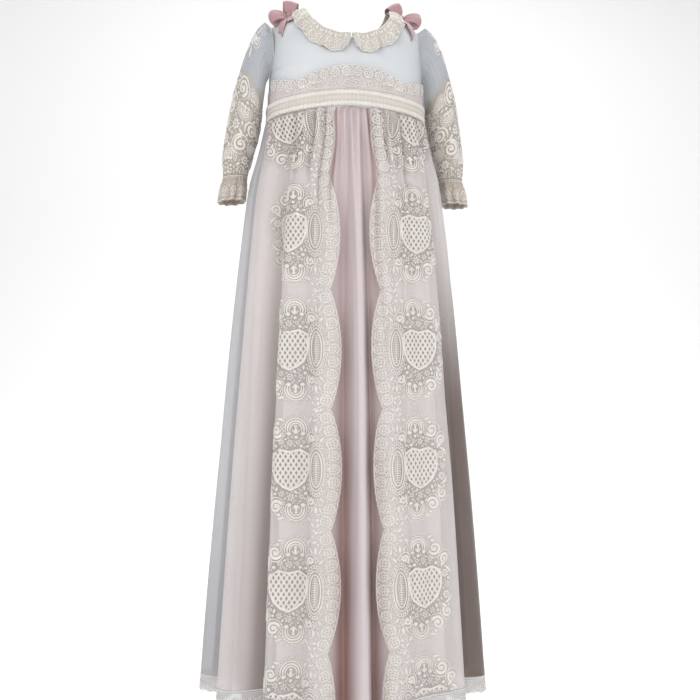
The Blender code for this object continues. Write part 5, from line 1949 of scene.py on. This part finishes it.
def waist_strokes(chart):
    """Lace laid sideways on the sash: petals along its scalloped edge, an oval and leaves under it."""
    half = float(min(-chart["ends"][0].max(), chart["ends"][1].min())) * 1000
    pitch = SCALLOP_PITCH * 1000
    border = edge_border(pitch, SCALLOP_DEPTH * 1000, 10, (5.9, 6.4), 8.6)
    upright = [(np.stack([p[:, 1], -p[:, 0]], axis=-1), w, h, c) for p, w, h, c in border]
    strokes = []
    for number in (-1, 0, 1):
        strokes += moved(upright, number * pitch, WAIST_LACE_NOTCH_Z * 1000)
    middle = (WAIST_LACE_NOTCH_Z * 1000 + BRAID_TOP_Z * 1000) / 2 - 1.0
    for number in range(-3, 4):
        x = number * 24.0
        if number % 2 == 0:
            strokes.append(ring(x, middle, 11.0, 5.0, 1.6, 1.0, 16))
            strokes.append(ring(x, middle, 7.0, 2.4, 1.0, 0.8, 12))
            for bar in x + 2.2 * np.arange(-3, 4):
                strokes.append(stroke([(bar, middle - 1.8), (bar, middle + 1.8)], 0.8, 0.6))
        else:
            strokes += flower(x, middle + 1.0, 4.6, 7)
            strokes += [leaf(x + 5, middle, 6.0, 2.4, 20.0), leaf(x - 5, middle, 6.0, 2.4, 160.0)]
    low = BRAID_TOP_Z * 1000 + 0.4

    def keep(points):
        edge = WAIST_LACE_NOTCH_Z * 1000 + SCALLOP_DEPTH * 1000 * scallop(points[:, 0] * 0.001) + 0.6
        return (np.abs(points[:, 0]) < half - 0.8) & (points[:, 1] > low) & (points[:, 1] < edge)

    return cut_strokes(strokes, keep)


def braid_strokes(chart):
    """Two thick lumpy cords, wound round, with a chain of small rings between them."""
    low, high = chart["ends"]
    start, end = low.max() * 1000 + 0.5, high.min() * 1000 - 0.5
    bottom, top = (BRAID_TOP_Z - BRAID_WIDTH) * 1000, BRAID_TOP_Z * 1000
    middle = (bottom + top) / 2
    strokes = []
    xs = np.arange(start, end, 1.6)
    for level, width, height in (
        (top - 3.6, 6.4, 1.5),
        (bottom + 3.8, 6.4, 1.5),
        (top - 0.9, 1.3, 0.8),
        (bottom + 0.9, 1.3, 0.8),
    ):
        lumps = np.sin(xs * 1.45 + level) + 0.6 * np.sin(xs * 0.83 + 2.0 * level)
        points = np.stack([xs, level + 0.5 * np.sin(xs * 1.9 + level)], axis=-1)
        strokes.append(stroke(points, width * (0.7 + 0.16 * lumps), 0.7 * height))
    count = int((end - start) / 5.2)
    for number in range(count):
        x = start + (end - start) * (number + 0.5) / count
        for level in (top - 3.6, bottom + 3.8):
            strokes.append(ring(x, level, 2.1, 2.7, 1.7, 1.9, 8, 25.0))
        strokes.append(ring(x, middle, 1.8, 1.8, 1.0, 0.9, 7))
    return strokes


class GOWN_OT_bows(bpy.types.Operator):
    """Tie a rose ribbon bow on each shoulder"""

    bl_idname = "gown.bows"
    bl_label = "Shoulder bows"

    def execute(self, context):
        wall = settings().sizes.lace_wall
        for side, flip in (("right", False), ("left", True)):
            for ribbons, point, columns, rows in (
                (BOW_LOOPS, loop_point, 48, 12),
                (BOW_TAILS, tail_point, 18, 8),
            ):
                for ribbon in ribbons:
                    across, up = share_grid(columns, rows)
                    if ribbon[0] == "loop_inner" and not flip:
                        ribbon = (ribbon[0], ribbon[1] + BOW_RIGHT_TURN, *ribbon[2:])
                    grid = point(ribbon, across, up * 2.0 - 1.0)
                    grid = mirror_x(grid) if flip else grid + BOW_RIGHT_MOVE
                    name = f"bow_{side}_{ribbon[0]}"
                    piece = sheet_mesh(f"{name}_ribbon", grid, ribbon_cloth(), flip=flip, wall=wall)
                    finish_piece(piece, [name])
            self.knot(side, flip)
        return {"FINISHED"}

    def knot(self, side, flip):
        """The wrapped knot of one bow, pinched and creased along its length."""
        bpy.ops.object.select_all(action="DESELECT")
        bpy.ops.mesh.primitive_uv_sphere_add(segments=28, ring_count=16, radius=0.5, location=(0, 0, 0))
        piece = bpy.context.object
        piece.name = f"bow_{side}_knot_ribbon"
        points = np.empty(len(piece.data.vertices) * 3)
        piece.data.vertices.foreach_get("co", points)
        points = points.reshape(-1, 3)
        turn = np.arctan2(points[:, 2], points[:, 0])
        crease = 1.0 + 0.05 * np.cos(7.0 * turn)
        size = points * np.array([0.0088, 0.0104, 0.0088]) * crease[:, None]
        grid = bow_point(size[:, 0], size[:, 1], size[:, 2])
        grid = mirror_x(grid) if flip else grid + BOW_RIGHT_MOVE
        piece.data.vertices.foreach_set("co", grid.ravel())
        if flip:
            piece.data.flip_normals()
        piece.data.materials.append(ribbon_cloth())
        piece.data.shade_smooth()
        finish_piece(piece, [f"bow_{side}_knot"])


class GOWN_OT_buttons(bpy.types.Operator):
    """Give the back's buttons a pearl finish"""

    bl_idname = "gown.buttons"
    bl_label = "Buttons"

    def execute(self, context):
        pearl, tree, shader = new_material("pearl_button_finish")
        cloud = noise(tree, object_place(tree), 220.0, 3.0)
        colour = mixed(tree, cloud, (0.80, 0.76, 0.70, 1.0), (0.88, 0.87, 0.86, 1.0))
        plug(tree, shader, {"Base Color": colour, "Roughness": 0.25, "Coat Weight": 0.5})
        for name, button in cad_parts.items():
            if name.startswith("button_"):
                for slot in button.material_slots:
                    slot.material = pearl
        return {"FINISHED"}


class GOWN_OT_stage(bpy.types.Operator):
    """Set the pale floor and backdrop, the soft lights and the camera"""

    bl_idname = "gown.stage"
    bl_label = "Stage"

    def execute(self, context):
        floor_z = HEM_Z - settings().sizes.floor_drop
        start, end, radius, height, half_width = BACKDROP
        profile = [(start, floor_z)]
        for turn in np.linspace(0.0, math.pi / 2, 13):
            profile.append((end + radius * math.sin(turn), floor_z + radius * (1 - math.cos(turn))))
        profile.append((end + radius, floor_z + height))
        heading = np.array([math.sin(math.radians(CAMERA_TURN)), math.cos(math.radians(CAMERA_TURN))])
        side = np.array([heading[1], -heading[0]])
        rows = []
        for along, z in profile:
            rows.append([[*(side * x + heading * along), z] for x in np.linspace(-half_width, half_width, 5)])
        plain, tree, shader = new_material("pale_backdrop")
        pale = settings().colours.floor
        cloud = noise(tree, object_place(tree), 0.6, 2.0)
        colour = mixed(tree, cloud, shade_of(pale, 0.99), shade_of(pale, 1.01))
        plug(tree, shader, {"Base Color": colour, "Roughness": 0.9, "Specular IOR Level": 0.1})
        backdrop = sheet_mesh("pale_backdrop_sheet", np.array(rows), plain)
        self.lights()
        camera = bpy.data.cameras.new("photo_camera")
        camera.sensor_width = SENSOR_WIDTH
        camera.lens = SENSOR_WIDTH * LENS_SHARE
        holder = bpy.data.objects.new("photo_camera", camera)
        holder.location = CAMERA_PLACE
        holder.rotation_euler = (math.radians(90.0), 0.0, math.radians(-CAMERA_TURN))
        context.scene.collection.objects.link(holder)
        context.scene.camera = holder
        context.scene.view_settings.view_transform = "Standard"
        return {"FINISHED"}

    def lights(self):
        """Soft panels and a pale surrounding."""
        world = bpy.data.worlds.new("pale_studio")
        world.use_nodes = True
        tree = world.node_tree
        plug(tree, tree.nodes["Background"], {0: (1.0, 1.0, 1.0, 1.0), 1: WORLD_STRENGTH})
        bpy.context.scene.world = world
        for name, place, size, power in LIGHTS:
            lamp = bpy.data.lights.new(name, "AREA")
            lamp.size = size
            lamp.energy = power
            holder = bpy.data.objects.new(name, lamp)
            holder.location = place
            aim = Vector(LIGHT_AIM) - Vector(place)
            holder.rotation_euler = aim.to_track_quat("-Z", "Y").to_euler()
            bpy.context.scene.collection.objects.link(holder)


STEPS = (
    GOWN_OT_bodice,
    GOWN_OT_waist,
    GOWN_OT_lining,
    GOWN_OT_skirt_lace,
    GOWN_OT_overskirt,
    GOWN_OT_hem_lace,
    GOWN_OT_sleeves,
    GOWN_OT_cuffs,
    GOWN_OT_collar,
    GOWN_OT_bows,
    GOWN_OT_buttons,
    GOWN_OT_stage,
)


class GOWN_PT_panel(bpy.types.Panel):
    """Lists the gown's settings and steps"""

    bl_idname = "GOWN_PT_panel"
    bl_label = "Lace Gown"
    bl_space_type = "VIEW_3D"
    bl_region_type = "UI"
    bl_category = "Lace Gown"

    def draw(self, context):
        for group in (context.scene.lace_gown.colours, context.scene.lace_gown.sizes):
            for key in group.__annotations__:
                self.layout.prop(group, key)
        for step in STEPS:
            self.layout.operator(step.bl_idname)


CLASSES = (GownColours, GownSizes, GownSettings, *STEPS, GOWN_PT_panel)


def register():
    """Registers the settings, the steps and the panel."""
    for made in CLASSES:
        bpy.utils.register_class(made)
    bpy.types.Scene.lace_gown = bpy.props.PointerProperty(type=GownSettings)


def unregister():
    """Removes what register added."""
    del bpy.types.Scene.lace_gown
    for made in reversed(CLASSES):
        bpy.utils.unregister_class(made)


def main():
    register()
    for step in STEPS:
        group, name = step.bl_idname.split(".")
        getattr(getattr(bpy.ops, group), name)()


if __name__ == "__main__":
    main()
